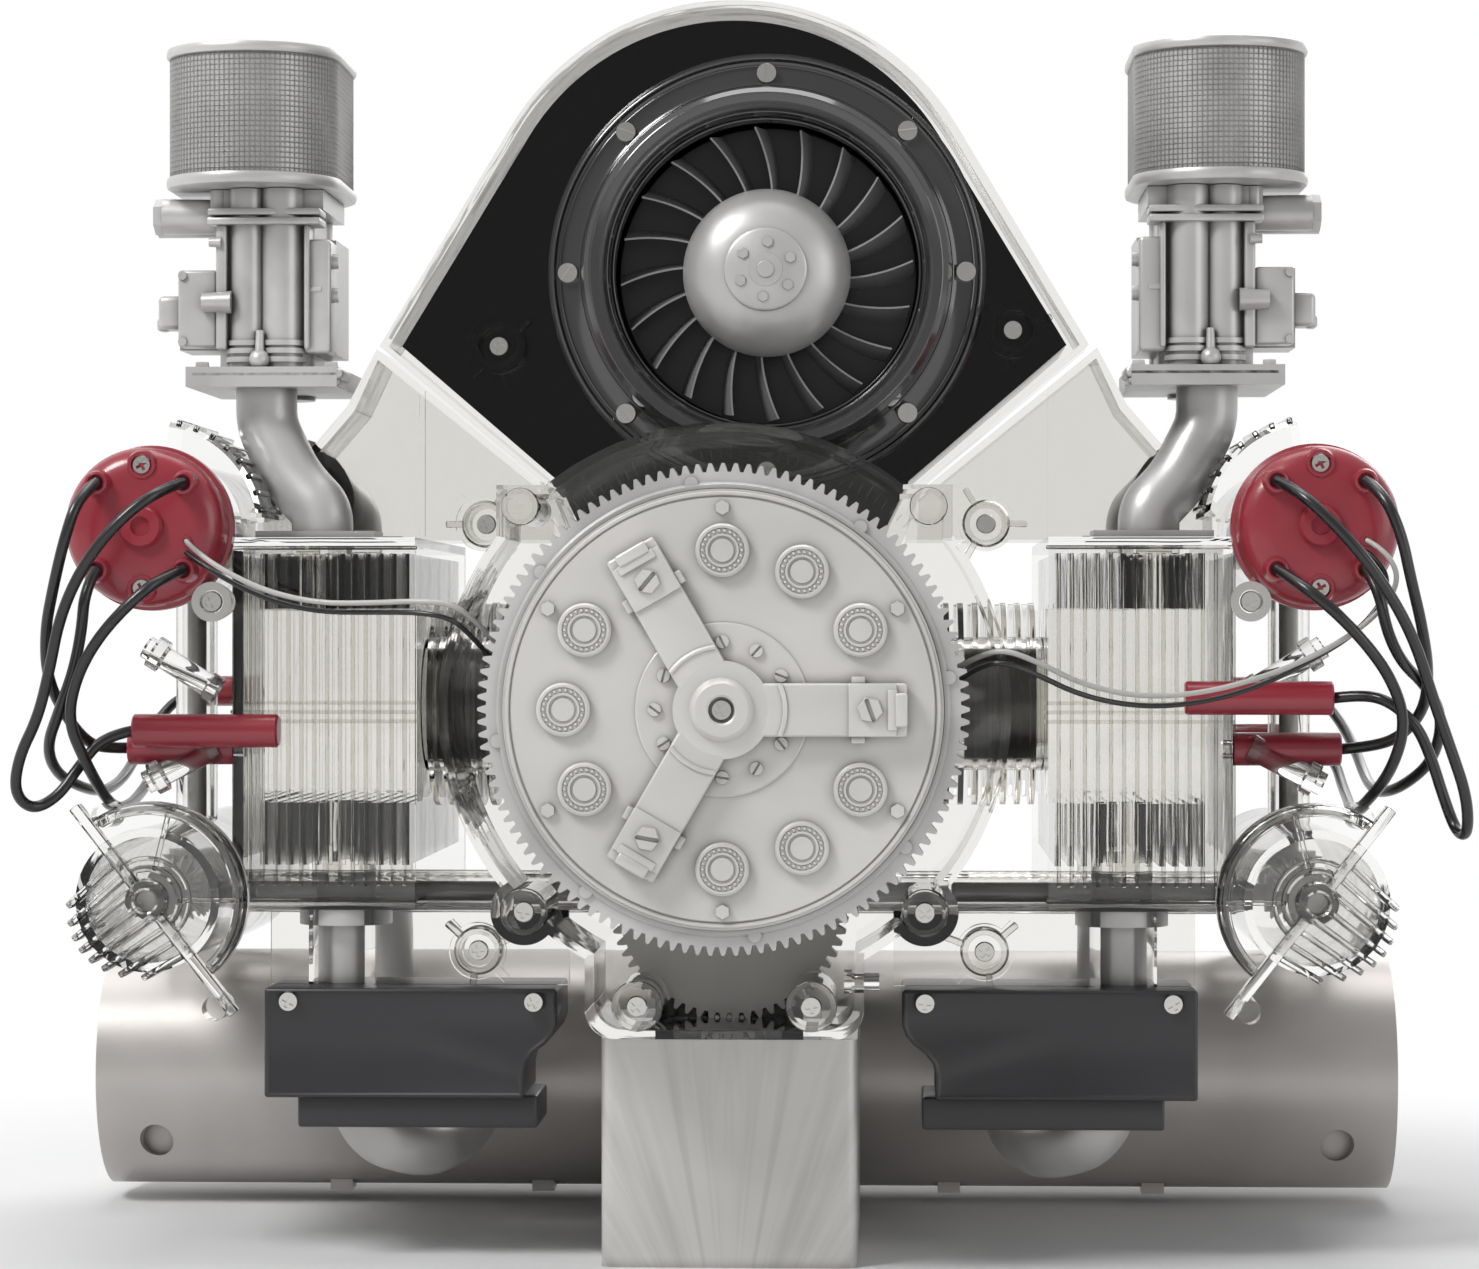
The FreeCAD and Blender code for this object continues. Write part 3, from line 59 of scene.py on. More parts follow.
# The clutch: where its cups and screws sit round the crankshaft, in degrees and millimetres.
CUP_ANGLES = (30, 60, 90, 150, 180, 210, 270, 300, 330)
LEVER_ANGLES = (0, 120, 240)
CUP_RING, LEVER_SCREW_RING, RIM_BOLT_RING, SMALL_SCREW_RING = 37.3, 34.6, 47.3, 15.9

# Bosses with three wings: x, y of the front face, z, and the lean of the first wing.
WINGED_BOSSES = ((-58.5, -34.6, 226, 40), (69.7, -34.6, 229.7, 140), (-63.4, -18.5, 182, 60),
                 (63.4, -18.5, 182, 120), (-62.4, -48, 76, 20), (62.4, -48, 76, 160))
# Cross-recess screws: those of the shroud and tins, then those in mirrored pairs.
COVER_SCREWS = ((-58.5, -35.5, 226), (69.7, -35.5, 229.7), (63.4, -18.5, 182), (-63.4, -18.5, 182),
                (62.4, -48, 76), (-62.4, -48, 76))
PAIRED_SCREWS = ((20.6, -90, 66.1), (47.4, -90, 88.4), (47.7, -60, 64.3), (107.8, -60, 64.3))
# Rings round the bell housing's bosses: x, z and radius.
BELL_RINGS = ((48.3, 184.3, 4.3), (47.4, 88.4, 5.4), (20.6, 66.1, 5.9))
# Plug boots: inner end, outer end, y and z.
BOOT_ROWS = ((111, 147, -54.5, 138.5), (123.2, 150, -44, 125.8), (123.2, 147, 62, 138.5),
             (123.2, 147, 50, 125.8))
# Half outline of a heater box from the front, seen on the right.
HEATER_OUTLINE = ((113.9, BOX_LOW), (50.2, BOX_LOW), (50.2, 46.6), (49.6, 49.4), (47.8, 51.8),
                  (44.9, 54.0), (43.0, 56.2), (42.1, 58.8), (42.1, BOX_HIGH), (113.9, BOX_HIGH))

# Each lead's route in millimetres from its tower to its plug boot.
LEADS = (
    ((-132, -71, 190.8), (-135, -79.5, 189), (-141.5, -83.5, 184.5), (-149.5, -84, 176.5),
     (-156, -82, 167), (-160.5, -79.5, 157), (-163, -77.5, 146), (-166.5, -74.5, 134),
     (-171.8, -71.5, 124.5), (-173.6, -69, 115.5), (-170, -64.5, 111), (-164, -61.5, 114.5),
     (-159.5, -58.8, 122), (-154, -56, 129), (-147, -54.5, 130.3)),
    ((-153.2, -71, 190.8), (-156, -78.5, 187), (-159, -80, 177), (-162, -78, 166),
     (-165, -74, 154.5), (-165.5, -68.5, 143), (-162, -62, 133.5), (-158.5, -54.5, 127.5),
     (-155.5, -47.5, 125.8), (-150, -44, 125.8)),
    ((-132, -71, 169.6), (-136, -79, 167.5), (-143, -82, 161.5), (-151, -80.5, 153),
     (-157, -76, 143.5), (-160, -71, 133), (-156.5, -66, 122.5), (-154, -54, 113.5),
     (-154, -38, 110.5), (-155, -18, 110.5), (-157, 4, 111.5), (-157.5, 22, 114.5),
     (-157.5, 36, 119.5), (-154, 46.5, 124.8), (-147, 50, 125.8)),
    ((-153.2, -71, 169.6), (-155, -75.5, 164.5), (-156, -74, 155), (-158.5, -71.5, 145),
     (-162.5, -69, 135.5), (-167, -62.5, 126.5), (-166.5, -52.5, 119.5), (-163, -37, 115.5),
     (-162, -18, 114), (-163, 4, 114.5), (-163.5, 24, 117), (-163, 42, 123.5), (-160, 54, 131.5),
     (-155, 60.5, 137.5), (-147, 62, 138.5)),
    ((132, -71, 190.8), (135.5, -79.5, 188.5), (142.5, -83.5, 182), (151, -84.5, 172.5),
     (158.5, -82.5, 162), (164, -80, 151.5), (168, -77.5, 139.5), (172.5, -76.5, 127),
     (176.5, -75.5, 115.5), (177.4, -71.6, 106.2), (176, -62.6, 105.8), (173, -60.5, 114.5),
     (170, -61.5, 124), (166, -63.5, 132.5), (159, -62, 138.5), (152.5, -56.5, 139.3),
     (147, -54.5, 138.5)),
    ((153.2, -71, 190.8), (156.5, -78, 187.5), (160.5, -79.5, 178), (163, -78, 167),
     (166, -75, 156), (168.5, -68, 145), (168.5, -59, 135.5), (163.5, -53, 129),
     (157.5, -47, 126.5), (150, -44, 125.8)),
    ((132, -71, 169.6), (136, -79, 166.5), (143.5, -82, 160.5), (151.5, -81, 152.5),
     (158.5, -77, 143.5), (162.5, -72.5, 133), (160, -66.5, 121.5), (155, -55, 113),
     (154, -39, 110.3), (155, -19, 110.3), (157, 3, 111.3), (157.5, 22, 114.5), (157.5, 36, 119.5),
     (154, 46.5, 124.8), (147, 50, 125.8)),
    ((153.2, -71, 169.6), (155.5, -76.5, 165), (157.5, -75, 155), (162, -69, 147),
     (168.5, -60.5, 142), (174, -52.5, 134), (172.5, -46, 123), (166.5, -36, 116.5),
     (163, -20, 114), (163, 2, 114.5), (163.5, 23, 117), (163, 41, 123.5), (160, 54, 131.5),
     (155, 60.5, 137.5), (147, 62, 138.5)),
)
LEAD_LENGTHS = (0.1351, 0.0911, 0.191, 0.1895, 0.1635, 0.0938, 0.1934, 0.1886)
WIRE_LENGTHS = (0.1269, 0.1242, 0.1693, 0.1657)
# Each thin wire's route from a distributor cap to the bell housing,
# the pale wire first on each side.
WIRES = (
    ((-131.6, -68, 176.7), (-129, -73, 174.5), (-121.5, -76.5, 169.5), (-111, -78.5, 164.5),
     (-98, -81, 161.5), (-84, -86, 161.5), (-72, -91.5, 162), (-63.5, -92.5, 161),
     (-58.5, -87, 156.5), (-53.5, -80, 150.5), (-49.5, -72, 147), (-48.5, -61, 146),
     (-48.5, -50.2, 146)),
    ((-131.6, -68, 173.9), (-128, -71.5, 171.5), (-120.5, -74, 167), (-110.5, -76, 162.3),
     (-98, -78.5, 159.4), (-84, -83.5, 159.3), (-73, -90.5, 159.3), (-64.5, -92.3, 158),
     (-60, -87, 153.5), (-55.5, -80, 147.5), (-51.5, -72, 144), (-50.5, -61, 143),
     (-50.5, -50.2, 143)),
    ((153.6, -68, 176.7), (158, -72, 174), (161.3, -72.6, 166.5), (154.6, -72.8, 157.5),
     (143, -74.3, 150), (129, -75.3, 144), (114, -76.5, 140), (99, -79, 139), (85, -84, 142),
     (74, -91, 147.5), (66, -92.5, 150.5), (60.5, -87, 149), (55, -80, 146), (50.5, -71, 144.5),
     (49.5, -60.5, 144), (49.5, -50.2, 144)),
    ((153.6, -68, 173.9), (157.7, -71, 170.5), (158.3, -71.2, 163.5), (151, -71.5, 154.5),
     (140.5, -72, 148), (127.5, -73, 141.5), (113.5, -74.2, 137.6), (99, -77, 136.6),
     (84.5, -82, 139.4), (73, -90.2, 145), (64.8, -92.9, 147.8), (60, -87, 146), (55.5, -80, 143),
     (51, -71, 141.5), (50, -60.5, 141), (50, -50.2, 141)),
)


# ---------------------------------------------------------------- sizes and colours
class EngineSizes(bpy.types.PropertyGroup):
    """Sizes that a user may change."""
    lead_thickness: FloatProperty(name="Lead thickness", description="Diameter of an ignition lead",
                                  default=0.0028, unit="LENGTH")
    wire_thickness: FloatProperty(name="Wire thickness",
                                  description="Diameter of a thin supply wire", default=0.0013,
                                  unit="LENGTH")
    mesh_pitch: FloatProperty(name="Filter mesh pitch",
                              description="Spacing of the pressed grid on the air filters",
                              default=0.0013, unit="LENGTH")
    bead_count: IntProperty(name="Beads", description="Beads round each clutch spring cup",
                              default=22)


class EngineColours(bpy.types.PropertyGroup):
    """Base colours of the moulded parts."""
    silver: FloatVectorProperty(name="Silver", description="Pearl silver mouldings",
                                subtype="COLOR", default=(0.62, 0.61, 0.60))
    clutch: FloatVectorProperty(name="Clutch", description="Pale pearl of the clutch",
                                subtype="COLOR", default=(0.71, 0.69, 0.665))
    warm: FloatVectorProperty(name="Silencer", description="Warm silver of the silencer",
                              subtype="COLOR", default=(0.62, 0.585, 0.56))
    red: FloatVectorProperty(name="Red", description="Distributor caps and plug boots",
                             subtype="COLOR", default=(0.33, 0.028, 0.045))
    black: FloatVectorProperty(name="Black", description="Satin black mouldings", subtype="COLOR",
                               default=(0.030, 0.030, 0.033))
    clear: FloatVectorProperty(name="Clear", description="Tint of the clear mouldings",
                               subtype="COLOR", default=(0.96, 0.957, 0.945))


# ---------------------------------------------------------------- mesh helpers
def spot(x, y, z):
    return Vector((x, y, z)) * MM


def polar(radius, degrees, centre=(0.0, CRANK_Z)):
    way = math.radians(degrees)
    return centre[0] + radius * math.cos(way), centre[1] + radius * math.sin(way)


def box(bm, low, high, edge=0.0, segments=2, turn=None, about=None):
    """A box between two corners in millimetres, its edges rounded, turned about an axis along Y."""
    made = bmesh.ops.create_cube(bm, size=1.0)["verts"]
    low, high = spot(*low), spot(*high)
    bmesh.ops.scale(bm, vec=high - low, verts=made)
    bmesh.ops.translate(bm, vec=(low + high) / 2, verts=made)
    if edge:
        edges = list({line for vert in made for line in vert.link_edges})
        made = bmesh.ops.bevel(bm, geom=edges, offset=edge * MM, segments=segments, profile=0.5,
                               affect="EDGES", material=-1)["verts"]
    if turn:
        about = about or (0.0, CRANK_Z)
        bmesh.ops.rotate(bm, cent=spot(about[0], 0, about[1]), verts=made,
                         matrix=Matrix.Rotation(-math.radians(turn), 3, "Y"))
    return made


def sided(side, low, high):
    """A box's corners in millimetres, mirrored to the left where side is -1."""
    ends = sorted((side * low[0], side * high[0]))
    return (ends[0], *low[1:]), (ends[1], *high[1:])


def bar(bm, start, end, radius, radius_end=None, sides=32):
    """A round bar or taper between two points in millimetres."""
    first, last = spot(*start), spot(*end)
    along = last - first
    turn = along.to_track_quat("Z", "Y").to_matrix().to_4x4()
    place = Matrix.Translation((first + last) / 2) @ turn
    radius_end = radius if radius_end is None else radius_end
    made = bmesh.ops.create_cone(bm, cap_ends=True, segments=sides, radius1=radius * MM,
                                 radius2=radius_end * MM, depth=along.length, matrix=place)["verts"]
    return made


def turned(bm, profile, x, z, steps=48, sweep=360.0, start=0.0):
    """A shape turned about an axis along Y from corners given as radius and y in millimetres."""
    verts = [bm.verts.new(spot(x + radius, y, z)) for radius, y in profile]
    lines = [bm.edges.new(pair) for pair in zip(verts, verts[1:])]
    if start:
        bmesh.ops.rotate(bm, cent=spot(x, 0, z), verts=verts,
                         matrix=Matrix.Rotation(-math.radians(start), 3, "Y"))
    bmesh.ops.spin(bm, geom=verts + lines, cent=spot(x, 0, z), axis=(0, -1, 0), steps=steps,
                   angle=math.radians(sweep), use_merge=sweep == 360.0, use_duplicate=False)


def ring_bead(bm, radius, thick, y, centre, degrees, sweep, steps=12):
    """A raised rib of half-round section along part of a circle, its ends closed."""
    profile = [(radius - thick, y + thick), (radius - thick * 0.7, y - thick * 0.7),
               (radius, y - thick), (radius + thick * 0.7, y - thick * 0.7),
               (radius + thick, y + thick), (radius - thick, y + thick)]
    local = bmesh.new()
    turned(local, profile, centre[0], centre[1], steps, sweep, degrees)
    bmesh.ops.remove_doubles(local, verts=local.verts, dist=1e-6)
    bmesh.ops.holes_fill(local, edges=[line for line in local.edges if line.is_boundary], sides=8)
    absorb(bm, local)


def absorb(bm, local):
    """Moves a finished part bmesh into a larger one."""
    mesh = bpy.data.meshes.new("part")
    local.to_mesh(mesh)
    local.free()
    bm.from_mesh(mesh)
    bpy.data.meshes.remove(mesh)


def halve(bm, point, way):
    """Cuts every edge and face of a bmesh along a plane and keeps both halves."""
    bmesh.ops.bisect_plane(bm, geom=bm.verts[:] + bm.edges[:] + bm.faces[:], plane_co=point,
                           plane_no=way)


def headed(bm, x, y, z, radius, tall, recess, turn=0.0, sides=20):
    """A screw head facing -Y with a slot, a cross or a plain top, or a hexagon with a slot."""
    local = bmesh.new()
    made = bmesh.ops.create_cone(local, cap_ends=True, segments=sides, radius1=radius * MM,
                                 radius2=radius * 0.9 * MM, depth=tall * MM)["verts"]
    bmesh.ops.translate(local, vec=(0, 0, tall / 2 * MM), verts=made)
    if recess:
        half = radius * 0.16 * MM
        reach = radius * (0.95 if recess == "slot" else 0.62) * MM
        cuts = [(1, 0, 0)] if recess == "slot" else [(1, 0, 0), (0, 1, 0)]
        for way in cuts:
            for sign in (-1, 1):
                halve(local, Vector(way) * half * sign, way)
        if recess == "cross":
            for way in cuts:
                for sign in (-1, 1):
                    halve(local, Vector(way) * reach * sign, way)
        top = []
        for face in local.faces:
            spot_in = face.calc_center_median()
            across, along = abs(spot_in.x), abs(spot_in.y)
            arm = (across < half and along < reach) or (
                along < half and across < reach and recess == "cross")
            if face.normal.z > 0.9 and arm:
                top.append(face)
        sunk = bmesh.ops.extrude_face_region(local, geom=top)
        moved = [item for item in sunk["geom"] if isinstance(item, bmesh.types.BMVert)]
        bmesh.ops.delete(local, geom=top, context="FACES")
        bmesh.ops.translate(local, vec=(0, 0, -0.6 * tall * MM), verts=moved)
    stand = Matrix.Translation(spot(x, y, z)) @ Matrix.Rotation(math.radians(90), 4, "X")
    bmesh.ops.transform(local, matrix=stand @ Matrix.Rotation(math.radians(turn), 4, "Z"),
                        verts=local.verts)
    absorb(bm, local)


def piece(name, bm, material, body="engine", replaces=(), sharp=35.0, recalc=True):
    """Turns a finished bmesh into an object that rides on a body."""
    if recalc:
        bmesh.ops.remove_doubles(bm, verts=bm.verts, dist=1e-6)
        bmesh.ops.recalc_face_normals(bm, faces=bm.faces)
    mesh = bpy.data.meshes.new(name)
    bm.to_mesh(mesh)
    bm.free()
    mesh.shade_smooth()
    mesh.set_sharp_from_angle(angle=math.radians(sharp))
    mesh.materials.append(material)
    item = bpy.data.objects.new(name, mesh)
    bpy.context.scene.collection.objects.link(item)
    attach(item, body)
    if replaces:
        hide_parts(*replaces)
    return item


def dress(nodes, material):
    """Gives CAD nodes their finish."""
    for name in nodes:
        item = bpy.data.objects[name] if name in bpy.data.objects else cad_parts[name]
        item.data.materials.clear()
        item.data.materials.append(material)


# ---------------------------------------------------------------- materials
def feed(tree, node, name, value):
    """Sets a node's input to a plain value, or links another node's output to it."""
    if isinstance(value, bpy.types.NodeSocket):
        tree.links.new(value, node.inputs[name])
    else:
        node.inputs[name].default_value = value


def step(tree, kind, inputs=None, **settings):
    """Adds a shader node with its settings, values and links."""
    made = tree.nodes.new("ShaderNode" + kind)
    for name, value in settings.items():
        setattr(made, name, value)
    for name, value in (inputs or {}).items():
        feed(tree, made, name, value)
    return made


def mixed(tree, factor, first, second, blend="MIX"):
    return step(tree, "Mix", {"Factor": factor, "A": first, "B": second}, data_type="RGBA",
                blend_type=blend).outputs["Result"]


def ranged(tree, value, low, high, to_low, to_high):
    return step(tree, "MapRange", {"Value": value, "From Min": low, "From Max": high,
                                   "To Min": to_low, "To Max": to_high}).outputs["Result"]


def reckon(tree, operation, *terms):
    return step(tree, "Math", dict(enumerate(terms)), operation=operation).outputs[0]


def noise(tree, place, scale, **more):
    settings = {"Vector": place, "Scale": scale}
    settings.update({name.title(): value for name, value in more.items()})
    return step(tree, "TexNoise", settings).outputs["Fac"]


def object_place(tree):
    return step(tree, "TexCoord").outputs["Object"]


def tone(colour, share=1.0):
    """A colour made lighter or darker, with its alpha."""
    return [min(1, part * share) for part in colour] + [1]


def relief(tree, shader, height, strength, distance):
    bump = step(tree, "Bump", {"Strength": strength, "Distance": distance, "Height": height})
    feed(tree, shader, "Normal", bump.outputs["Normal"])


def fresh(name):
    made = bpy.data.materials.new(name)
    made.use_nodes = True
    return made, made.node_tree, made.node_tree.nodes["Principled BSDF"]


def once(make):
    """Makes a named material the first time, and gives the same one after that."""
    @functools.wraps(make)
    def known(name, *details, **more):
        return bpy.data.materials.get(name) or make(name, *details, **more)
    return known


def flow_and_shade_group():
    """Pearl in swirls: folds of flow, painted shade from ambient occlusion that darkens the colour
    in hollows, the folds' gloss and a fine grain.
    """
    if "Pearl flow and painted shade" in bpy.data.node_groups:
        return bpy.data.node_groups["Pearl flow and painted shade"]
    group = bpy.data.node_groups.new("Pearl flow and painted shade", "ShaderNodeTree")
    for name, kind, way, value in (
            ("Folds", "Float", "INPUT", 18.0), ("Dark", "Color", "INPUT", (0.3, 0.3, 0.3, 1)),
            ("Light", "Color", "INPUT", (0.6, 0.6, 0.6, 1)), ("Colour with painted shade", "Color", "OUTPUT", None),
            ("Gloss", "Float", "OUTPUT", None), ("Grain", "Float", "OUTPUT", None),
            ("Shade reach", "Float", "INPUT", 0.003)):
        socket = group.interface.new_socket(name=name, in_out=way, socket_type="NodeSocket" + kind)
        if value is not None:
            socket.default_value = value
    enter = group.nodes.new("NodeGroupInput").outputs
    leave = group.nodes.new("NodeGroupOutput")
    place = object_place(group)
    folds = noise(group, place, enter["Folds"], detail=3.0, distortion=1.6)
    ramp = step(group, "ValToRGB", {"Fac": folds})
    ramp.color_ramp.elements[0].position = 0.36
    ramp.color_ramp.elements[1].position = 0.60
    swirl = mixed(group, ramp.outputs["Color"], enter["Dark"], enter["Light"])
    # Painted shade: an ambient occlusion mask (deep) darkens the colour in hollows and between
    # parts.
    painted_occlusion = step(group, "AmbientOcclusion", {"Distance": enter["Shade reach"]}, samples=6)
    deep = ranged(group, painted_occlusion.outputs["AO"], 0.25, 0.95, 0.42, 1.0)
    feed(group, leave, "Colour with painted shade", mixed(group, 1.0, swirl, deep, "MULTIPLY"))
    feed(group, leave, "Grain", noise(group, place, 900.0))
    feed(group, leave, "Gloss", ranged(group, folds, 0.0, 1.0, 0.30, 0.44))
    return group


@once
def pearl(name, colour, folds=16.0, contrast=0.16, metallic=0.35):
    """Silver-pigmented plastic with flow marks in it and painted shade in its hollows."""
    made, tree, shader = fresh(name)
    flow = step(tree, "Group", {"Folds": folds, "Dark": tone(colour, 1 - contrast),
                                "Light": tone(colour, 1 + contrast * 0.55)}, node_tree=flow_and_shade_group())
    # The base colour is the flow swirls multiplied by painted shade in hollows.
    feed(tree, shader, "Base Color", flow.outputs["Colour with painted shade"])
    feed(tree, shader, "Roughness", flow.outputs["Gloss"])
    feed(tree, shader, "Metallic", metallic)
    feed(tree, shader, "Coat Weight", 0.15)
    feed(tree, shader, "Coat Roughness", 0.2)
    relief(tree, shader, flow.outputs["Grain"], 0.05, 0.0003)
    return made


@once
def gated_pearl(name, colour):
    """Pearl plastic with dark flow lines that fan upwards from a moulding gate at the foot."""
    made = pearl(name, colour, folds=9.0, contrast=0.08, metallic=0.3)
    tree, shader = made.node_tree, made.node_tree.nodes["Principled BSDF"]
    parts = step(tree, "SeparateXYZ", {"Vector": object_place(tree)}).outputs
    ray = reckon(tree, "DIVIDE", reckon(tree, "ABSOLUTE", parts["X"]),
                 reckon(tree, "ADD", parts["Z"], 0.035))
    fan = step(tree, "CombineXYZ", {"X": ray, "Y": parts["Z"], "Z": parts["Y"]}).outputs["Vector"]
    streak = noise(tree, fan, 6.0, detail=5.0, distortion=1.3)
    line = ranged(tree, streak, 0.40, 0.56, 0.84, 1.0)
    flow = next(node for node in tree.nodes if node.type == "GROUP")
    feed(tree, shader, "Base Color", mixed(tree, 1.0, flow.outputs["Colour with painted shade"], line, "MULTIPLY"))
    return made


@once
def moulded(name, colour, rough=0.35, grain=0.1, coat=0.1, metallic=0.0):
    """Plain coloured plastic or rubber with a fine grain and slight patches."""
    made, tree, shader = fresh(name)
    place = object_place(tree)
    patch = noise(tree, place, 45.0)
    feed(tree, shader, "Base Color", mixed(tree, patch, tone(colour, 0.86), tone(colour, 1.16)))
    feed(tree, shader, "Roughness",
         ranged(tree, patch, 0.0, 1.0, max(0.02, rough - 0.06), rough + 0.06))
    feed(tree, shader, "Metallic", metallic)
    feed(tree, shader, "Coat Weight", coat)
    feed(tree, shader, "Coat Roughness", 0.15)
    relief(tree, shader, noise(tree, place, 700.0), grain, 0.0002)
    return made


@once
def clear(name, colour, rim, rough=0.03, waviness=0.12, bend=1.45):
    """Clear styrene: it darkens where it is seen edge on, and keeps a faint flow ripple."""
    made, tree, shader = fresh(name)
    feed(tree, shader, "Transmission Weight", 1.0)
    feed(tree, shader, "Roughness", rough)
    feed(tree, shader, "IOR", bend)
    facing = step(tree, "LayerWeight", {"Blend": 0.5}).outputs["Facing"]
    edge = reckon(tree, "POWER", facing, 2.6)
    feed(tree, shader, "Base Color", mixed(tree, edge, tone(colour), tone(rim)))
    relief(tree, shader, noise(tree, object_place(tree), 60.0, detail=1.0), waviness, 0.001)
    return made


def colours():
    return bpy.context.scene.engine_colours


def silver():
    return pearl("pearl silver", colours().silver)


def clutch_pearl():
    return pearl("clutch pearl", colours().clutch, folds=11.0, contrast=0.08, metallic=0.25)


def warm_silver():
    return pearl("silencer silver", colours().warm, folds=7.0, contrast=0.12, metallic=0.45)


def red_plastic():
    return moulded("dark red plastic", colours().red, rough=0.3, coat=0.35)


def black_plastic():
    return moulded("satin black plastic", colours().black, rough=0.38, grain=0.06)


def clear_plastic():
    return clear("clear styrene", colours().clear, (0.07, 0.068, 0.06))


def smoky_plastic():
    return clear("smoky clear styrene", (0.80, 0.79, 0.76), (0.05, 0.047, 0.04), rough=0.05,
                 waviness=0.3, bend=1.16)


def bell_plastic():
    return clear("bell clear styrene", (0.85, 0.843, 0.82), (0.04, 0.038, 0.033), rough=0.03,
                 waviness=0.2)


def ring_plastic():
    return moulded("smoky fan ring", (0.05, 0.05, 0.05), rough=0.10, grain=0.02, coat=1.0,
                   metallic=0.25)


def grey_plastic():
    return moulded("grey gear plastic", (0.42, 0.41, 0.39), rough=0.4)


def steel():
    return moulded("bright screw steel", (0.62, 0.61, 0.58), rough=0.22, metallic=1.0, grain=0.04)


def lead_rubber():
    return moulded("lead rubber", (0.012, 0.012, 0.012), rough=0.33, coat=0.3)


# ---------------------------------------------------------------- pieces
class ENGINE_OT_finishes(bpy.types.Operator):
    """Give every carried-over node its moulded finish"""
    bl_idname = "engine.finishes"
    bl_label = "Finish the frame"

    def execute(self, context):
        dress(["stand"], gated_pearl("stand pearl", colours().clutch))
        dress(["intake_manifolds", "exhaust_pipes", "dynamo", "crank_pulley", "flywheel",
               "carburettors"], silver())
        dress(["muffler"], warm_silver())
        dress([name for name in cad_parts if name.startswith(("piston", "connecting"))],
              silver())
        dress(["bell_housing", "fan_shroud_front", "lower_tins"], bell_plastic())
        dress(["crankcase_left", "crankcase_right", "sump", "air_ducts", "exhaust_cam_housings",
               "intake_cam_housings", "shaft_tubes", "fan_inlet_ring", "power_button"],
               clear_plastic())
        dress(["cylinder_heads", "cylinder_barrels"], smoky_plastic())
        dress(["crankshaft", "layshaft_gear", "motor_gear", "crank_web_plug_front",
               "crank_web_plug_rear"]
              + [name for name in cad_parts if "shaft_" in name and "tubes" not in name],
              grey_plastic())
        dress(["fan_shroud_rear"],
              moulded("gloss black lining", (0.034, 0.034, 0.035), rough=0.24, coat=0.5))
        dress(["heater_boxes", "stand_top_plate", "battery_cover"], black_plastic())
        dress(["fan_rotor"],
              moulded("fan blade plastic", (0.035, 0.035, 0.035), rough=0.22, coat=0.6))
        dress(["drive_belt"], lead_rubber())
        dress(["drive_motor", "case_screws"], steel())
        return {"FINISHED"}


class ENGINE_OT_cords(bpy.types.Operator):
    """Lay the ignition leads and the thin supply wires"""
    bl_idname = "engine.cords"
    bl_label = "Leads and wires"

    def execute(self, context):
        sizes = context.scene.engine_sizes
        pale = moulded("pale wire cover", (0.50, 0.49, 0.47), rough=0.35)
        for routes, lengths, node, thick, cover in (
                (LEADS, LEAD_LENGTHS, "ignition_leads", sizes.lead_thickness, (lead_rubber(),)),
                (WIRES, WIRE_LENGTHS, "supply_wires", sizes.wire_thickness, (pale, lead_rubber()))):
            for index, (route, length) in enumerate(zip(routes, lengths)):
                curve = bpy.data.curves.new(f"{node}_{index + 1}", "CURVE")
                curve.dimensions = "3D"
                line = curve.splines.new("NURBS")
                line.points.add(len(route) - 1)
                for point, place in zip(line.points, route):
                    point.co = (*spot(*place), 1)
                line.order_u = 3
                line.use_endpoint_u = True
                line.resolution_u = 10
                curve.bevel_depth = thick / 2
                curve.bevel_resolution = 4
                curve.use_fill_caps = True
                curve.materials.append(cover[index % len(cover)])
                item = bpy.data.objects.new(curve.name, curve)
                context.scene.collection.objects.link(item)
                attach(item, "engine")
                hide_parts(node)
        return {"FINISHED"}


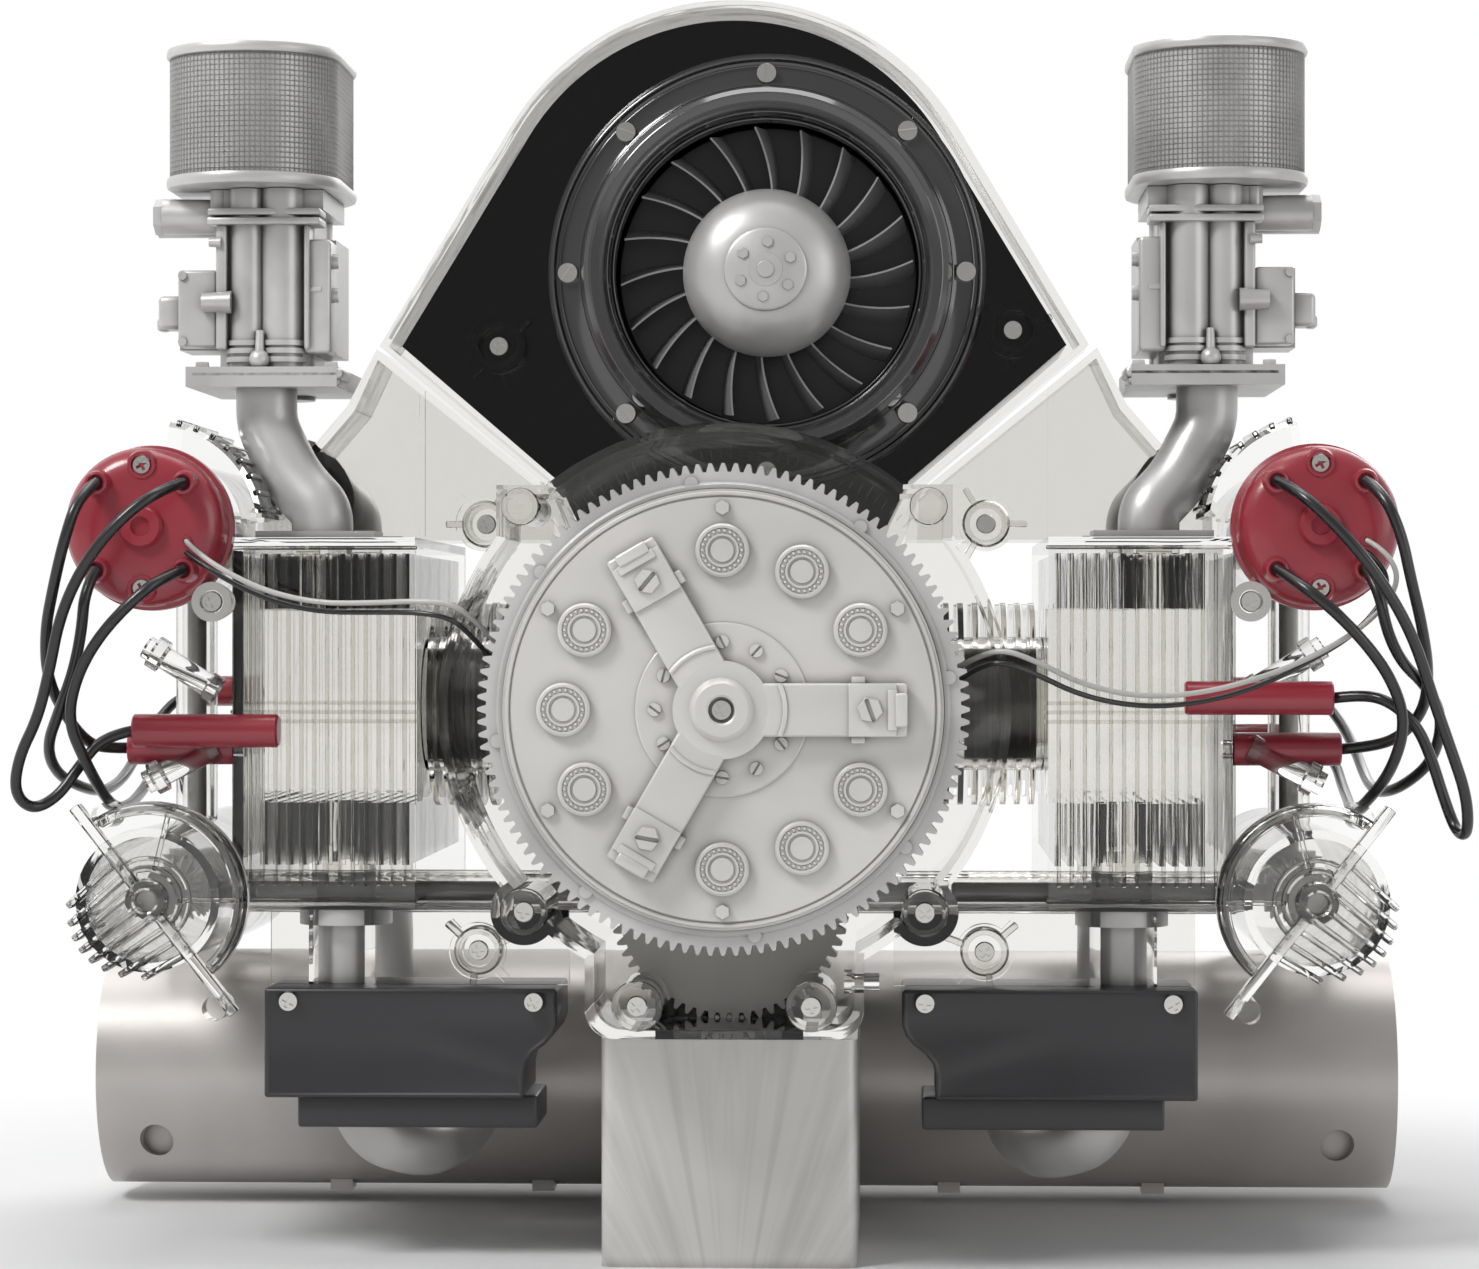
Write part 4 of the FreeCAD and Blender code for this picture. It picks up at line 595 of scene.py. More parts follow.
class ENGINE_OT_clutch(bpy.types.Operator):
    """Model the clutch cover with its spring cups, levers and bolts"""
    bl_idname = "engine.clutch"
    bl_label = "Clutch"

    def execute(self, context):
        skin = clutch_pearl()
        bm = bmesh.new()
        turned(bm, [(0, -99.7), (20.1, -99.7), (20.5, -99.4), (20.5, -99.0), (49.6, -99.0),
                    (50.0, -98.5), (50.4, -99.0), (51.0, -99.0), (51.3, -98.4), (51.8, -98.4),
                    (51.8, -96), (0, -96)],
               0, CRANK_Z, steps=128)
        piece("clutch_cover", bm, skin, "crank", ["clutch_plate"], sharp=30)
        beads = context.scene.engine_sizes.bead_count
        for count, angle in enumerate(CUP_ANGLES):
            bm = bmesh.new()
            x, z = polar(CUP_RING, angle)
            turned(bm, [(0, -101.0), (2.7, -101.0), (2.9, -100.7), (3.2, -100.7), (3.4, -101.2),
                        (3.9, -101.2), (4.1, -100.9), (5.1, -100.9), (5.3, -101.2), (5.8, -101.2),
                        (6.3, -100.7), (6.35, -98.9), (0, -98.9)], x, z, steps=40)
            for bead in range(beads):
                bx, bz = polar(4.6, 360 * bead / beads, (x, z))
                ball = bmesh.ops.create_icosphere(bm, subdivisions=1, radius=0.55 * MM)["verts"]
                bmesh.ops.translate(bm, vec=spot(bx, -100.9, bz), verts=ball)
            piece(f"spring_cup_{count + 1}", bm, skin, "crank", sharp=40)
        bm = bmesh.new()
        for angle in LEVER_ANGLES:
            box(bm, (2, -103.6, CRANK_Z - 6.25), (43.2, -99.6, CRANK_Z + 6.25), 0.7, 3, angle)
            box(bm, (29.5, -104.4, CRANK_Z - 6.25), (40.8, -103.0, CRANK_Z + 6.25), 0.5, 2, angle)
            for side in (-1, 1):
                box(bm, (30.2, -103.2, CRANK_Z + side * 6.9 - 0.9),
                    (33.4, -99.2, CRANK_Z + side * 6.9 + 0.9), 0.4, 2, angle)
            box(bm, (40.4, -105.4, CRANK_Z - 4.0), (43.3, -99.3, CRANK_Z + 4.0), 0.6, 3, angle)
            box(bm, (38.6, -105.0, CRANK_Z - 4.8), (40.9, -103.2, CRANK_Z + 4.8), 0.4, 2, angle)
            ring_bead(bm, 14.8, 0.75, -103.5, (0, CRANK_Z), angle - 24, 48)
        turned(bm, [(2.9, -103.4), (3.1, -105.6), (3.6, -106.0), (6.2, -106.0), (6.9, -105.4),
                    (7.6, -104.0), (11.5, -103.5), (11.5, -99.6), (0, -99.6), (0, -103.4),
                    (2.9, -103.4)], 0,
                    CRANK_Z, steps=64)
        piece("clutch_arms", bm, skin, "crank", ["clutch_levers"], sharp=32)
        bm = bmesh.new()
        for angle in range(30, 390, 60):
            x, z = polar(RIM_BOLT_RING, angle)
            headed(bm, x, -99.0, z, 1.9, 1.3, None, 0, 6)
        for angle in LEVER_ANGLES:
            x, z = polar(LEVER_SCREW_RING, angle)
            headed(bm, x, -104.4, z, 3.2, 1.3, "slot", angle + 20, 6)
        for angle in CUP_ANGLES:
            x, z = polar(SMALL_SCREW_RING, angle)
            headed(bm, x, -99.7, z, 1.7, 0.9, "slot", angle * 2.3, 16)
        piece("clutch_small_bolts", bm, skin, "crank", ["clutch_bolts"],
              sharp=30)
        bm = bmesh.new()
        headed(bm, 0, -103.4, CRANK_Z, 2.5, 1.5, "cross", 20)
        piece("clutch_centre_screw", bm, steel(), "crank", sharp=30)
        return {"FINISHED"}


class ENGINE_OT_ring(bpy.types.Operator):
    """Add the half-round lugs behind the clutch cover's rim on the ring gear"""
    bl_idname = "engine.ring"
    bl_label = "Ring gear lugs"

    def execute(self, context):
        bm = bmesh.new()
        turned(bm, [(52.0, -96.0), (52.0, -97.0), (52.9, -97.0), (53.3, -96.5), (53.6, -96.0)], 0,
               CRANK_Z, steps=128)
        for angle in range(0, 360, 45):
            x, z = polar(53.6, angle + 8)
            bar(bm, (x, -96.8, z), (x, -95.5, z), 1.6, sides=16)
        piece("ring_gear_lip", bm, silver(), "crank")
        return {"FINISHED"}


class ENGINE_OT_caps(bpy.types.Operator):
    """Turn the two distributor caps with their towers and screws"""
    bl_idname = "engine.caps"
    bl_label = "Distributor caps"

    def execute(self, context):
        skin = red_plastic()
        for side, name in SIDES:
            x, z = side * CAM_X, INTAKE_Z
            bm = bmesh.new()
            turned(bm, [(2.2, -69.0), (2.4, -70.0), (4.6, -70.0), (5.3, -69.2), (5.4, -67.8),
                        (12, -67.9),
                        (15.5, -67.5), (18.2, -66.0), (19.4, -63.5), (19.5, -55.6), (20.3, -55.2),
                        (20.4, -52.2),
                        (0, -52.2), (0, -69.0), (2.2, -69.0)], x, z, steps=72)
            for angle in (45, 135, 225, 315):
                tx, tz = polar(15, angle, (x, z))
                turned(bm, [(1.75, -68.5), (1.75, -70.8), (2.1, -71.0), (2.7, -70.8), (3.2, -68.0),
                            (3.4, -64.5), (0, -64.5), (0, -68.5), (1.75, -68.5)], tx, tz, steps=28)
            hx, hz = x + 11, z - 3.5
            turned(bm, [(0.8, -67.2), (0.8, -68.4), (1.3, -68.4), (1.6, -67.2), (0.8, -67.2)], hx,
                   hz, steps=20)
            for offset in (15, -15):
                turned(bm, [(2.6, -67.2), (2.6, -68.2), (3.3, -68.2), (3.8, -67.0), (2.6, -67.2)],
                       x, z + offset, steps=24)
            piece(f"distributor_cap_{name}", bm, skin, "engine",
                  ["distributor_caps"], sharp=40)
            bm = bmesh.new()
            for offset in (15, -15):
                headed(bm, x, -67.1, z + offset, 2.3, 1.0, "cross", 30)
            piece(f"cap_screws_{name}", bm, steel(), "engine", sharp=30)
        return {"FINISHED"}


class ENGINE_OT_boots(bpy.types.Operator):
    """Turn the red plug boots, open at the lead's end"""
    bl_idname = "engine.boots"
    bl_label = "Plug boots"

    def execute(self, context):
        skin = red_plastic()
        for side, name in SIDES:
            for index, (inner, outer, y, z) in enumerate(BOOT_ROWS):
                if side < 0 and index == 0:
                    z -= 8.2
                bm = bmesh.new()
                profile = [(0, -inner), (3.6, -inner), (4.1, -(inner + 0.5)),
                           (4.15, -(outer - 0.4)), (3.8, -outer), (2.3, -outer),
                           (2.0, -(outer - 0.4)), (1.9, -(outer - 6)), (0, -(outer - 6))]
                turned(bm, profile, 0, 0, steps=36)
                bmesh.ops.rotate(bm, cent=(0, 0, 0),
                                 matrix=Matrix.Rotation(side * math.radians(90), 3, "Z"),
                                 verts=bm.verts)
                bmesh.ops.translate(bm, vec=spot(0, y, z), verts=bm.verts)
                piece(f"plug_boot_{name}_{index + 1}", bm, skin, "engine",
                      ["spark_plug_boots"], sharp=40)
        return {"FINISHED"}


class ENGINE_OT_filters(bpy.types.Operator):
    """Model the two air filters with their pressed mesh"""
    bl_idname = "engine.filters"
    bl_label = "Air filters"

    def execute(self, context):
        pitch = context.scene.engine_sizes.mesh_pitch / MM
        skin = silver()
        for side, name in SIDES:
            x = side * FILTER_X
            bm = bmesh.new()
            can(bm, x, 21.3, 269.0, 299.8, pitch, pressed=0.35)
            piece(f"filter_mesh_{name}", bm, skin, "engine", ["air_filters"],
                  sharp=50, recalc=False)
            bm = bmesh.new()
            for low, high, radius in ((266.2, 269.4, 22.1), (298.9, 301.7, 22.1)):
                can(bm, x, radius, low, high, 3.0, rounded=0.9)
            for y in (-24, 4):
                bar(bm, (x, y, 301.4), (x, y, 303.0), 3.0, 2.7, 24)
            piece(f"filter_lids_{name}", bm, skin, "engine", sharp=40)
        return {"FINISHED"}


def can(whole, x, radius, low, high, pitch, rounded=0.0, pressed=0.0):
    """A can with straight flanks and round ends, its wall divided every pitch."""
    bm = bmesh.new()
    around = 2 * max(12, round(math.pi * radius / pitch))
    loop = bmesh.ops.create_circle(bm, cap_ends=False, segments=around, radius=radius * MM)["verts"]
    bmesh.ops.rotate(bm, cent=(0, 0, 0), matrix=Matrix.Rotation(math.pi / around, 3, "Z"),
                     verts=loop)
    for side in (-1, 1):
        half = [vert for vert in loop if vert.co.y * side > 0]
        bmesh.ops.translate(bm, vec=(0, side * FILTER_STRAIGHT / 2 * MM, 0), verts=half)
    lines = list({line for vert in loop for line in vert.link_edges})
    flanks = [line for line in lines if line.calc_length() > FILTER_STRAIGHT / 2 * MM]
    bmesh.ops.subdivide_edges(bm, edges=flanks, cuts=max(1, round(FILTER_STRAIGHT / pitch)))
    loop = bm.verts[:]
    bmesh.ops.translate(bm, vec=spot(x, FILTER_MIDDLE_Y, low), verts=loop)
    lines = list({line for vert in loop for line in vert.link_edges})
    bmesh.ops.contextual_create(bm, geom=lines)
    rows = 1 if rounded else max(1, round((high - low) / pitch))
    for _ in range(rows):
        made = bmesh.ops.extrude_edge_only(bm, edges=lines)["geom"]
        loop = [item for item in made if isinstance(item, bmesh.types.BMVert)]
        lines = [item for item in made if isinstance(item, bmesh.types.BMEdge)]
        bmesh.ops.translate(bm, vec=(0, 0, (high - low) * MM / rows), verts=loop)
    bmesh.ops.contextual_create(bm, geom=lines)
    bmesh.ops.recalc_face_normals(bm, faces=bm.faces)
    if rounded:
        rims = [line for line in bm.edges
                if line.is_manifold and abs(line.calc_face_angle(0)) > 1.2]
        bmesh.ops.bevel(bm, geom=rims, offset=rounded * MM, segments=2, profile=0.5, affect="EDGES",
                        material=-1)
    if pressed:
        walls = [face for face in bm.faces if abs(face.normal.z) < 0.5]
        bmesh.ops.inset_individual(bm, faces=walls, thickness=pressed * 0.7 * MM,
                                   depth=-pressed * MM)
    absorb(whole, bm)


class ENGINE_OT_carburettors(bpy.types.Operator):
    """Add columns, seams, screws and levers to the two carburettors"""
    bl_idname = "engine.carburettors"
    bl_label = "Carburettors"

    def execute(self, context):
        skin = silver()
        for side, name in SIDES:
            bm = bmesh.new()
            for x, thick in ((122.7, 4.5), (113.7, 5.3)):
                bar(bm, (side * x, -30.0, 221), (side * x, -30.0, 266), thick, sides=36)
                for z in (222.4, 224.6, 226.6):
                    bar(bm, (side * x, -30.0, z), (side * x, -30.0, z + 1.3), thick + 0.8, sides=36)
            box(bm, *sided(side, (103.6, -36.0, 256.8), (132, -24, 258.6)), 0.5)
            box(bm, *sided(side, (103.6, -35.2, 259.2), (132, -24, 261.0)), 0.5)
            for low, high in ((127.3, 130.0), (106.4, 107.8)):
                box(bm, *sided(side, (low, -34.5, 225.5), (high, -24, 257)), 0.7, 3)
            for x, thick in ((130, 2.4), (105.5, 2.0)):
                bar(bm, (side * x, -28, 261), (side * x, -28, 266), thick, sides=20)
            box(bm, *sided(side, (101.2, -33, 224.7), (108.0, -20, 253.3)), 1.0, 3)
            for z in (239.5, 248):
                bar(bm, (side * 101.4, -29, z), (side * 99.6, -29, z), 2.0, 1.8, 16)
            bar(bm, (side * 107, -32.4, 240.7), (side * 103.6, -32.4, 240.7), 1.0, 0.9, 14)
            box(bm, *sided(side, (130, -33, 226.3), (139.8, -18, 245.6)), 0.8, 3)
            for z in (227.6, 244.2):
                bar(bm, (side * 138.6, -33.6, z), (side * 138.6, -30, z), 1.1, 1.1, 12)
            box(bm, *sided(side, (139.2, -30, 231), (145.4, -22, 239.4)), 1.3, 3)
            box(bm, *sided(side, (143, -28.5, 230.6), (146.0, -23.5, 234)), 1.0, 3)
            bar(bm, (side * 126, -34.2, 237.4), (side * 133.4, -34.2, 237.4), 2.9, 2.3, 28)
            bar(bm, (side * 128.6, -34.6, 252.4), (side * 131.6, -34.6, 252.4), 1.3, 1.1, 14)
            bar(bm, (side * 130, -24, 259.8), (side * 144.8, -24, 259.8), 4.4, 4.6, 32)
            bar(bm, (side * 144.4, -24, 259.8), (side * 147.0, -24, 259.8), 4.7, 4.5, 6)
            ball = bmesh.ops.create_uvsphere(bm, u_segments=20, v_segments=12,
                                             radius=2.6 * MM)["verts"]
            bmesh.ops.translate(bm, vec=spot(side * 118.8, -35.6, 222.9), verts=ball)
            bar(bm, (side * 118.8, -35.4, 223), (side * 118.8, -34.6, 230.2), 1.3, 1.0, 16)
            box(bm, *sided(side, (97.4, -38.0, 217.6), (136.6, -22, 220.7)), 1.2, 3)
            box(bm, *sided(side, (98.2, -37.4, 216.1), (136.0, -22, 218.2)), 0.8, 3)
            for x in (101.0, 133.5):
                bar(bm, (side * x, -33.5, 220.4), (side * x, -33.5, 222.4), 2.0, 1.7, 6)
            piece(f"carburettor_detail_{name}", bm, skin, "engine", sharp=35)
        return {"FINISHED"}


class ENGINE_OT_cam_ends(bpy.types.Operator):
    """Model the finned end covers of the exhaust camshafts and the small tubes beside them"""
    bl_idname = "engine.cam_ends"
    bl_label = "Cam covers"

    def execute(self, context):
        skin = clear_plastic()
        for side, name in SIDES:
            x, z = side * CAM_X, LAY_Z
            flange = 128 if side < 0 else 52
            bm = bmesh.new()
            turned(bm, [(2.7, -60), (2.7, -63.4), (3.3, -63.8), (4.9, -63.6), (5.4, -60)], x, z, 40)
            box(bm, (x - 35, -62.8, z - 1.3), (x - 4.6, -57.0, z + 1.3), 0.4, 2, flange, (x, z))
            box(bm, (x + 4.6, -62.8, z - 1.3), (x + 29, -57.0, z + 1.3), 0.4, 2, flange, (x, z))
            outward = flange + 90 * (1 if side < 0 else -1)
            for fin in range(8):
                along = -16.2 + fin * 4.1
                fx, fz = polar(along, flange, (x, z))
                half = math.sqrt(max(4.0, 20.6 ** 2 - along ** 2))
                box(bm, (fx + 1.4, -62.2, fz - 0.8), (fx + half, -40.0, fz + 0.8), 0.45, 2,
                    outward + along * (0.5 if side < 0 else -0.5), (fx, fz))
            inward = outward + 180
            turned(bm, [(5.2, -59.8), (21.6, -59.8), (23.4, -58.6), (24.0, -56.8), (24.0, -52.2),
                        (22.6, -52.2),
                        (22.4, -57.6), (5.2, -57.8), (5.2, -59.8)], x, z, 40, 176, inward - 88)
            for ring, thick in ((7.8, 0.9), (10.3, 0.6), (22.0, 1.1)):
                ring_bead(bm, ring, thick, -60.3, (x, z), inward - 84, 168, 36)
            for spoke in (-38, 38):
                box(bm, (x + 7.6, -61.2, z - 0.6), (x + 22.4, -59.6, z + 0.6), 0.2, 1,
                    inward + spoke, (x, z))
            for reach, off in ((-31.0, 3.4), (23.0, -4.2)):
                bx, bz = polar(reach, flange, (x, z))
                ox, oz = polar(off, outward, (0, 0))
                bar(bm, (bx + ox, -60.0, bz + oz), (bx + ox, -48, bz + oz), 3.0, 3.3, 24)
            piece(f"exhaust_cam_cover_{name}", bm, skin, "engine", sharp=30)
            bm = bmesh.new()
            for start, end in (((side * 145.4, -46, 151.0), (side * 127.5, -46, 139.9)),
                               ((side * 145.4, -46, 117.2), (side * 127.5, -46, 126.3))):
                bar(bm, start, end, 2.9, 2.9, 24)
                for share, radius in ((0.10, 4.2), (0.86, 3.6)):
                    near = [one + (two - one) * share for one, two in zip(start, end)]
                    far = [one + (two - one) * (share + 0.14) for one, two in zip(start, end)]
                    bar(bm, near, far, radius, radius, 24)
            piece(f"oil_stubs_{name}", bm, skin, "engine", sharp=30)
            bm = bmesh.new()
            turned(bm, [(18.4, -50.0), (25.4, -50.0), (26.6, -48.6), (26.6, -20), (18.4, -20),
                        (18.4, -50.0)],
                   x, INTAKE_Z, 28, 76, 6 if side < 0 else 98)
            for rib in range(8):
                box(bm, (x + 25.6, -49.0, INTAKE_Z - 0.7), (x + 27.6, -20, INTAKE_Z + 0.7), 0.3, 1,
                    (10 if side < 0 else 102) + rib * 9.6, (x, INTAKE_Z))
            piece(f"cam_box_shoulder_{name}", bm, skin, "engine", sharp=30)
            bm = bmesh.new()
            wx, wz = side * 126.5, 162
            turned(bm, [(2.9, -61.2), (2.9, -62.0), (4.9, -62.0), (4.9, -60.5), (4.0, -50),
                        (2.9, -50), (2.9, -61.2)], wx, wz, 32)
            headed(bm, wx, -60.6, wz, 2.6, 1.1, "cross", 25)
            piece(f"cover_screw_{name}", bm, steel(), "engine", sharp=30)
        return {"FINISHED"}


class ENGINE_OT_ducts(bpy.types.Operator):
    """Add the upright ribs, seam and corner lips of the clear air ducts"""
    bl_idname = "engine.ducts"
    bl_label = "Duct ribs"

    def execute(self, context):
        for side, name in SIDES:
            bm = bmesh.new()
            for rib in range(13):
                x = side * (80.5 + rib * 3.2)
                box(bm, (x - 0.5, -51.0, 92), (x + 0.5, -49.9, 174), 0.2, 1)
            for z in (132.6, 134.9, 137.2):
                box(bm, *sided(side, (77, -51.4, z - 0.45), (123.6, -49.8, z + 0.45)), 0.2, 1)
            for z in (88.4, 175.4):
                box(bm, *sided(side, (77.4, -51.2, z - 0.5), (123.6, -49.8, z + 0.5)), 0.3, 2)
            for rib in range(18):
                y = -44 + rib * 6.4
                box(bm, *sided(side, (122.8, y - 0.6, 92), (124.2, y + 0.6, 174)), 0.2, 1)
            piece(f"duct_ribs_{name}", bm, smoky_plastic(), "engine", sharp=30)
        return {"FINISHED"}


class ENGINE_OT_bell(bpy.types.Operator):
    """Add timing marks and boss rings to the bell housing, and the bosses with three wings"""
    bl_idname = "engine.bell"
    bl_label = "Bell housing marks"

    def execute(self, context):
        bm = bmesh.new()
        for mark in range(-20, 21):
            tall = 3.6 if mark % 5 == 0 else 2.2
            angle = 90 + mark * 2.2
            box(bm, (61.0, -50.9, CRANK_Z - 0.2), (61.0 + tall, -50.1, CRANK_Z + 0.2), 0, 1, angle)
        for x, z, radius in BELL_RINGS:
            for side in (-1, 1):
                turned(bm, [(radius - 1.2, -90), (radius - 1.2, -91.2), (radius, -91.2),
                            (radius + 0.2, -90)], side * x, z, 32)
        piece("bell_marks", bm, bell_plastic(), "engine", sharp=30)
        bm = bmesh.new()
        for x, y, z, lean in WINGED_BOSSES:
            turned(bm, [(4.1, y), (4.1, y - 1.6), (5.4, y - 1.6), (6.0, y), (6.0, y + 6),
                        (4.1, y + 6), (4.1, y)],
                   x, z, 36)
            for wing in range(3):
                box(bm, (x + 5.3, y - 0.9, z - 0.8), (x + 10.4, y + 5, z + 0.8), 0.4, 2,
                    lean + 120 * wing, (x, z))
        piece("winged_bosses", bm, smoky_plastic(), "engine", sharp=30)
        return {"FINISHED"}


class ENGINE_OT_fan(bpy.types.Operator):
    """Turn the fan's silver dome with its bolts"""
    bl_idname = "engine.fan"
    bl_label = "Fan hub"

    def execute(self, context):
        x, z = FAN
        bm = bmesh.new()
        turned(bm, [(0, -45.6), (9.6, -45.6), (10.2, -45.2), (10.4, -44.6), (13.5, -43.9),
                    (17, -41.6), (19.6, -38.6), (20.9, -35.4), (21, -34), (2, -34), (2, 78),
                    (12.5, 78), (18, 78), (18, 80), (13.5, 81.8), (13.5, 84.2), (18, 86), (18, 88),
                    (0, 88)], x, z, steps=72)
        turned(bm, [(0, -46.0), (2.0, -46.0), (2.2, -45.7), (4.2, -45.7), (4.5, -45.2), (0, -45.0)],
               x, z, 32)
        for angle in range(0, 360, 60):
            bx, bz = polar(6.8, angle + 25, (x, z))
            headed(bm, bx, -45.5, bz, 1.5, 0.5, None, 0, 6)
        piece("fan_dome", bm, silver(), "fan", ["fan_hub"], sharp=35)
        bm = bmesh.new()
        turned(bm, [(0, -22.6), (37.2, -22.6), (37.2, -24.4), (22.2, -24.4), (22.2, -25.6),
                    (20.4, -25.6), (0, -25.6)],
               x, z, steps=96)
        piece("fan_back", bm, moulded("fan black", (0.006, 0.006, 0.006), rough=0.35), "fan",
              ["fan_rotor"], sharp=30)
        bm = bmesh.new()
        for blade in range(20):
            local = bmesh.new()
            sheet = bmesh.ops.create_grid(local, x_segments=10, y_segments=1, size=0.5)["verts"]
            for vert in sheet:
                along, deep = vert.co.x + 0.5, vert.co.y + 0.5
                turn = math.radians(18 * blade - 3 + 8 * along ** 1.2 - 5 * deep)
                radius = 20.3 + 16.2 * along
                vert.co = spot(x + radius * math.cos(turn), -34.4 + 10.4 * deep,
                               z + radius * math.sin(turn))
            bmesh.ops.recalc_face_normals(local, faces=local.faces)
            bmesh.ops.solidify(local, geom=local.faces[:], thickness=0.5 * MM)
            absorb(bm, local)
        piece("fan_blades", bm,
              moulded("fan blade grey", (0.30, 0.30, 0.305), rough=0.25, coat=0.5), "fan",
              ["fan_rotor"], sharp=40)
        bm = bmesh.new()
        turned(bm, [(54.6, -31.2), (54.6, -35.6), (54.0, -36.4), (53.2, -36.4), (52.6, -35.4),
                    (51.4, -35.2),
                    (47.6, -35.4), (46.6, -36.0), (46.0, -40.4), (45.2, -43.2), (43.6, -44.6),
                    (41.8, -44.2),
                    (40.2, -42.4), (39.0, -38.6), (38.3, -34.0), (38.0, -30.4), (39.2, -30.4),
                    (44.0, -33.6),
                    (50.0, -31.2), (54.6, -31.2)], x, z, steps=128)
        for ring, y in ((53.4, -36.6), (51.6, -35.5), (46.4, -38.4), (43.7, -44.4), (39.6, -41.0),
                        (38.3, -36.6)):
            ring_bead(bm, ring, 0.35, y, (x, z), 0, 360, 128)
        piece("fan_ring", bm, ring_plastic(), "engine", ["fan_inlet_ring"],
              sharp=28)
        bm = bmesh.new()
        for angle in range(0, 360, 45):
            sx, sz = polar(49.7, angle, (x, z))
            headed(bm, sx, -35.3, sz, 2.7, 1.5, "slot", angle * 1.7 + 20)
        piece("fan_ring_screws", bm, steel(), "engine", sharp=30)
        return {"FINISHED"}


class ENGINE_OT_screws(bpy.types.Operator):
    """Cut the cross-recess screws that hold the covers"""
    bl_idname = "engine.screws"
    bl_label = "Case screws"

    def execute(self, context):
        bm = bmesh.new()
        places = list(COVER_SCREWS)
        places += [(side * x, y, z) for side in (-1, 1) for x, y, z in PAIRED_SCREWS]
        for index, (x, y, z) in enumerate(places):
            headed(bm, x, y, z, 2.5, 1.4, "cross", index * 37)
        piece("cross_screws", bm, steel(), "engine", ["case_screws"], sharp=30)
        return {"FINISHED"}


class ENGINE_OT_exhaust(bpy.types.Operator):
    """Add the silencer's end rims, and the heater boxes with their lips and the strips beneath them
    """
    bl_idname = "engine.exhaust"
    bl_label = "Exhaust details"

    def execute(self, context):
        bm = bmesh.new()
        for side in (-1, 1):
            profile = [(0, -173.4), (28.4, -173.4), (30.5, -172.7), (31.8, -171.1), (31.9, -169.5),
                       (30, -168), (0, -168)]
            made = bmesh.new()
            turned(made, profile, 0, 0, 96)
            bmesh.ops.rotate(made, cent=(0, 0, 0),
                             matrix=Matrix.Rotation(side * math.radians(90), 3, "Z"),
                             verts=made.verts)
            bmesh.ops.translate(made, vec=spot(0, SILENCER_Y, SILENCER_Z), verts=made.verts)
            absorb(bm, made)
        piece("silencer_ends", bm, warm_silver(), "engine", sharp=40)
        bm = bmesh.new()
        for side in (-1, 1):
            local = bmesh.new()
            face = local.faces.new([local.verts.new(spot(side * px, -60, pz))
                                    for px, pz in HEATER_OUTLINE])
            grown = bmesh.ops.extrude_face_region(local, geom=[face])["geom"]
            bmesh.ops.translate(local, vec=spot(0, 35, 0),
                                verts=[item for item in grown
                                       if isinstance(item, bmesh.types.BMVert)])
            bmesh.ops.recalc_face_normals(local, faces=local.faces)
            sharp_lines = [line for line in local.edges if abs(line.calc_face_angle(0)) > 1.0]
            bmesh.ops.bevel(local, geom=sharp_lines, offset=0.8 * MM, segments=3, profile=0.5,
                            affect="EDGES", material=-1)
            front = [part for part in local.faces
                     if part.normal.y < -0.99 and part.calc_area() > 1e-4]
            bmesh.ops.inset_region(local, faces=front, thickness=0.9 * MM, depth=-0.5 * MM)
            absorb(bm, local)
            box(bm, *sided(side, (106, -57.5, 33.2), (47, -30, 41.2)), 0.8, 3)
        piece("heater_box_shells", bm, black_plastic(), "engine", ["heater_boxes"],
              sharp=40)
        return {"FINISHED"}


# ---------------------------------------------------------------- stage
LAMPS = (("key", (-0.9, -0.8, 1.3), 0.5, 17, (0, 0, 0.16)),
         ("fill", (1.3, -0.9, 0.5), 0.8, 3.6, (0, 0, 0.15)),
         ("top", (0.0, 0.2, 1.5), 0.9, 8, (0, 0, 0.1)),
         ("rim", (0.5, 1.3, 0.9), 0.9, 5, (0, 0, 0.2)))


class ENGINE_OT_stage(bpy.types.Operator):
    """Set the pale floor, the soft lamps and the camera"""
    bl_idname = "engine.stage"
    bl_label = "Stage"

    def execute(self, context):
        link = context.scene.collection.objects.link
        bm = bmesh.new()
        bmesh.ops.create_grid(bm, x_segments=1, y_segments=1, size=6)
        mesh = bpy.data.meshes.new("floor")
        bm.to_mesh(mesh)
        bm.free()
        floor = bpy.data.objects.new("floor", mesh)
        link(floor)
        mesh.materials.append(floor_paint())
        context.scene.world = studio()
        for name, place, wide, power, aim in LAMPS:
            lamp = bpy.data.lights.new(name, "AREA")
            lamp.size = wide
            lamp.energy = power
            item = bpy.data.objects.new(name, lamp)
            item.location = place
            item.rotation_euler = (Vector(aim) - Vector(place)).to_track_quat("-Z", "Y").to_euler()
            link(item)
        camera = bpy.data.cameras.new("camera")
        camera.lens = 100
        camera.sensor_width = 36
        holder = bpy.data.objects.new("camera", camera)
        holder.location = (0.0399, -1.060, 0.154)
        holder.rotation_euler = (math.radians(90), 0, math.radians(2.14))
        link(holder)
        context.scene.camera = holder
        context.scene.view_settings.view_transform = "Standard"
        return {"FINISHED"}


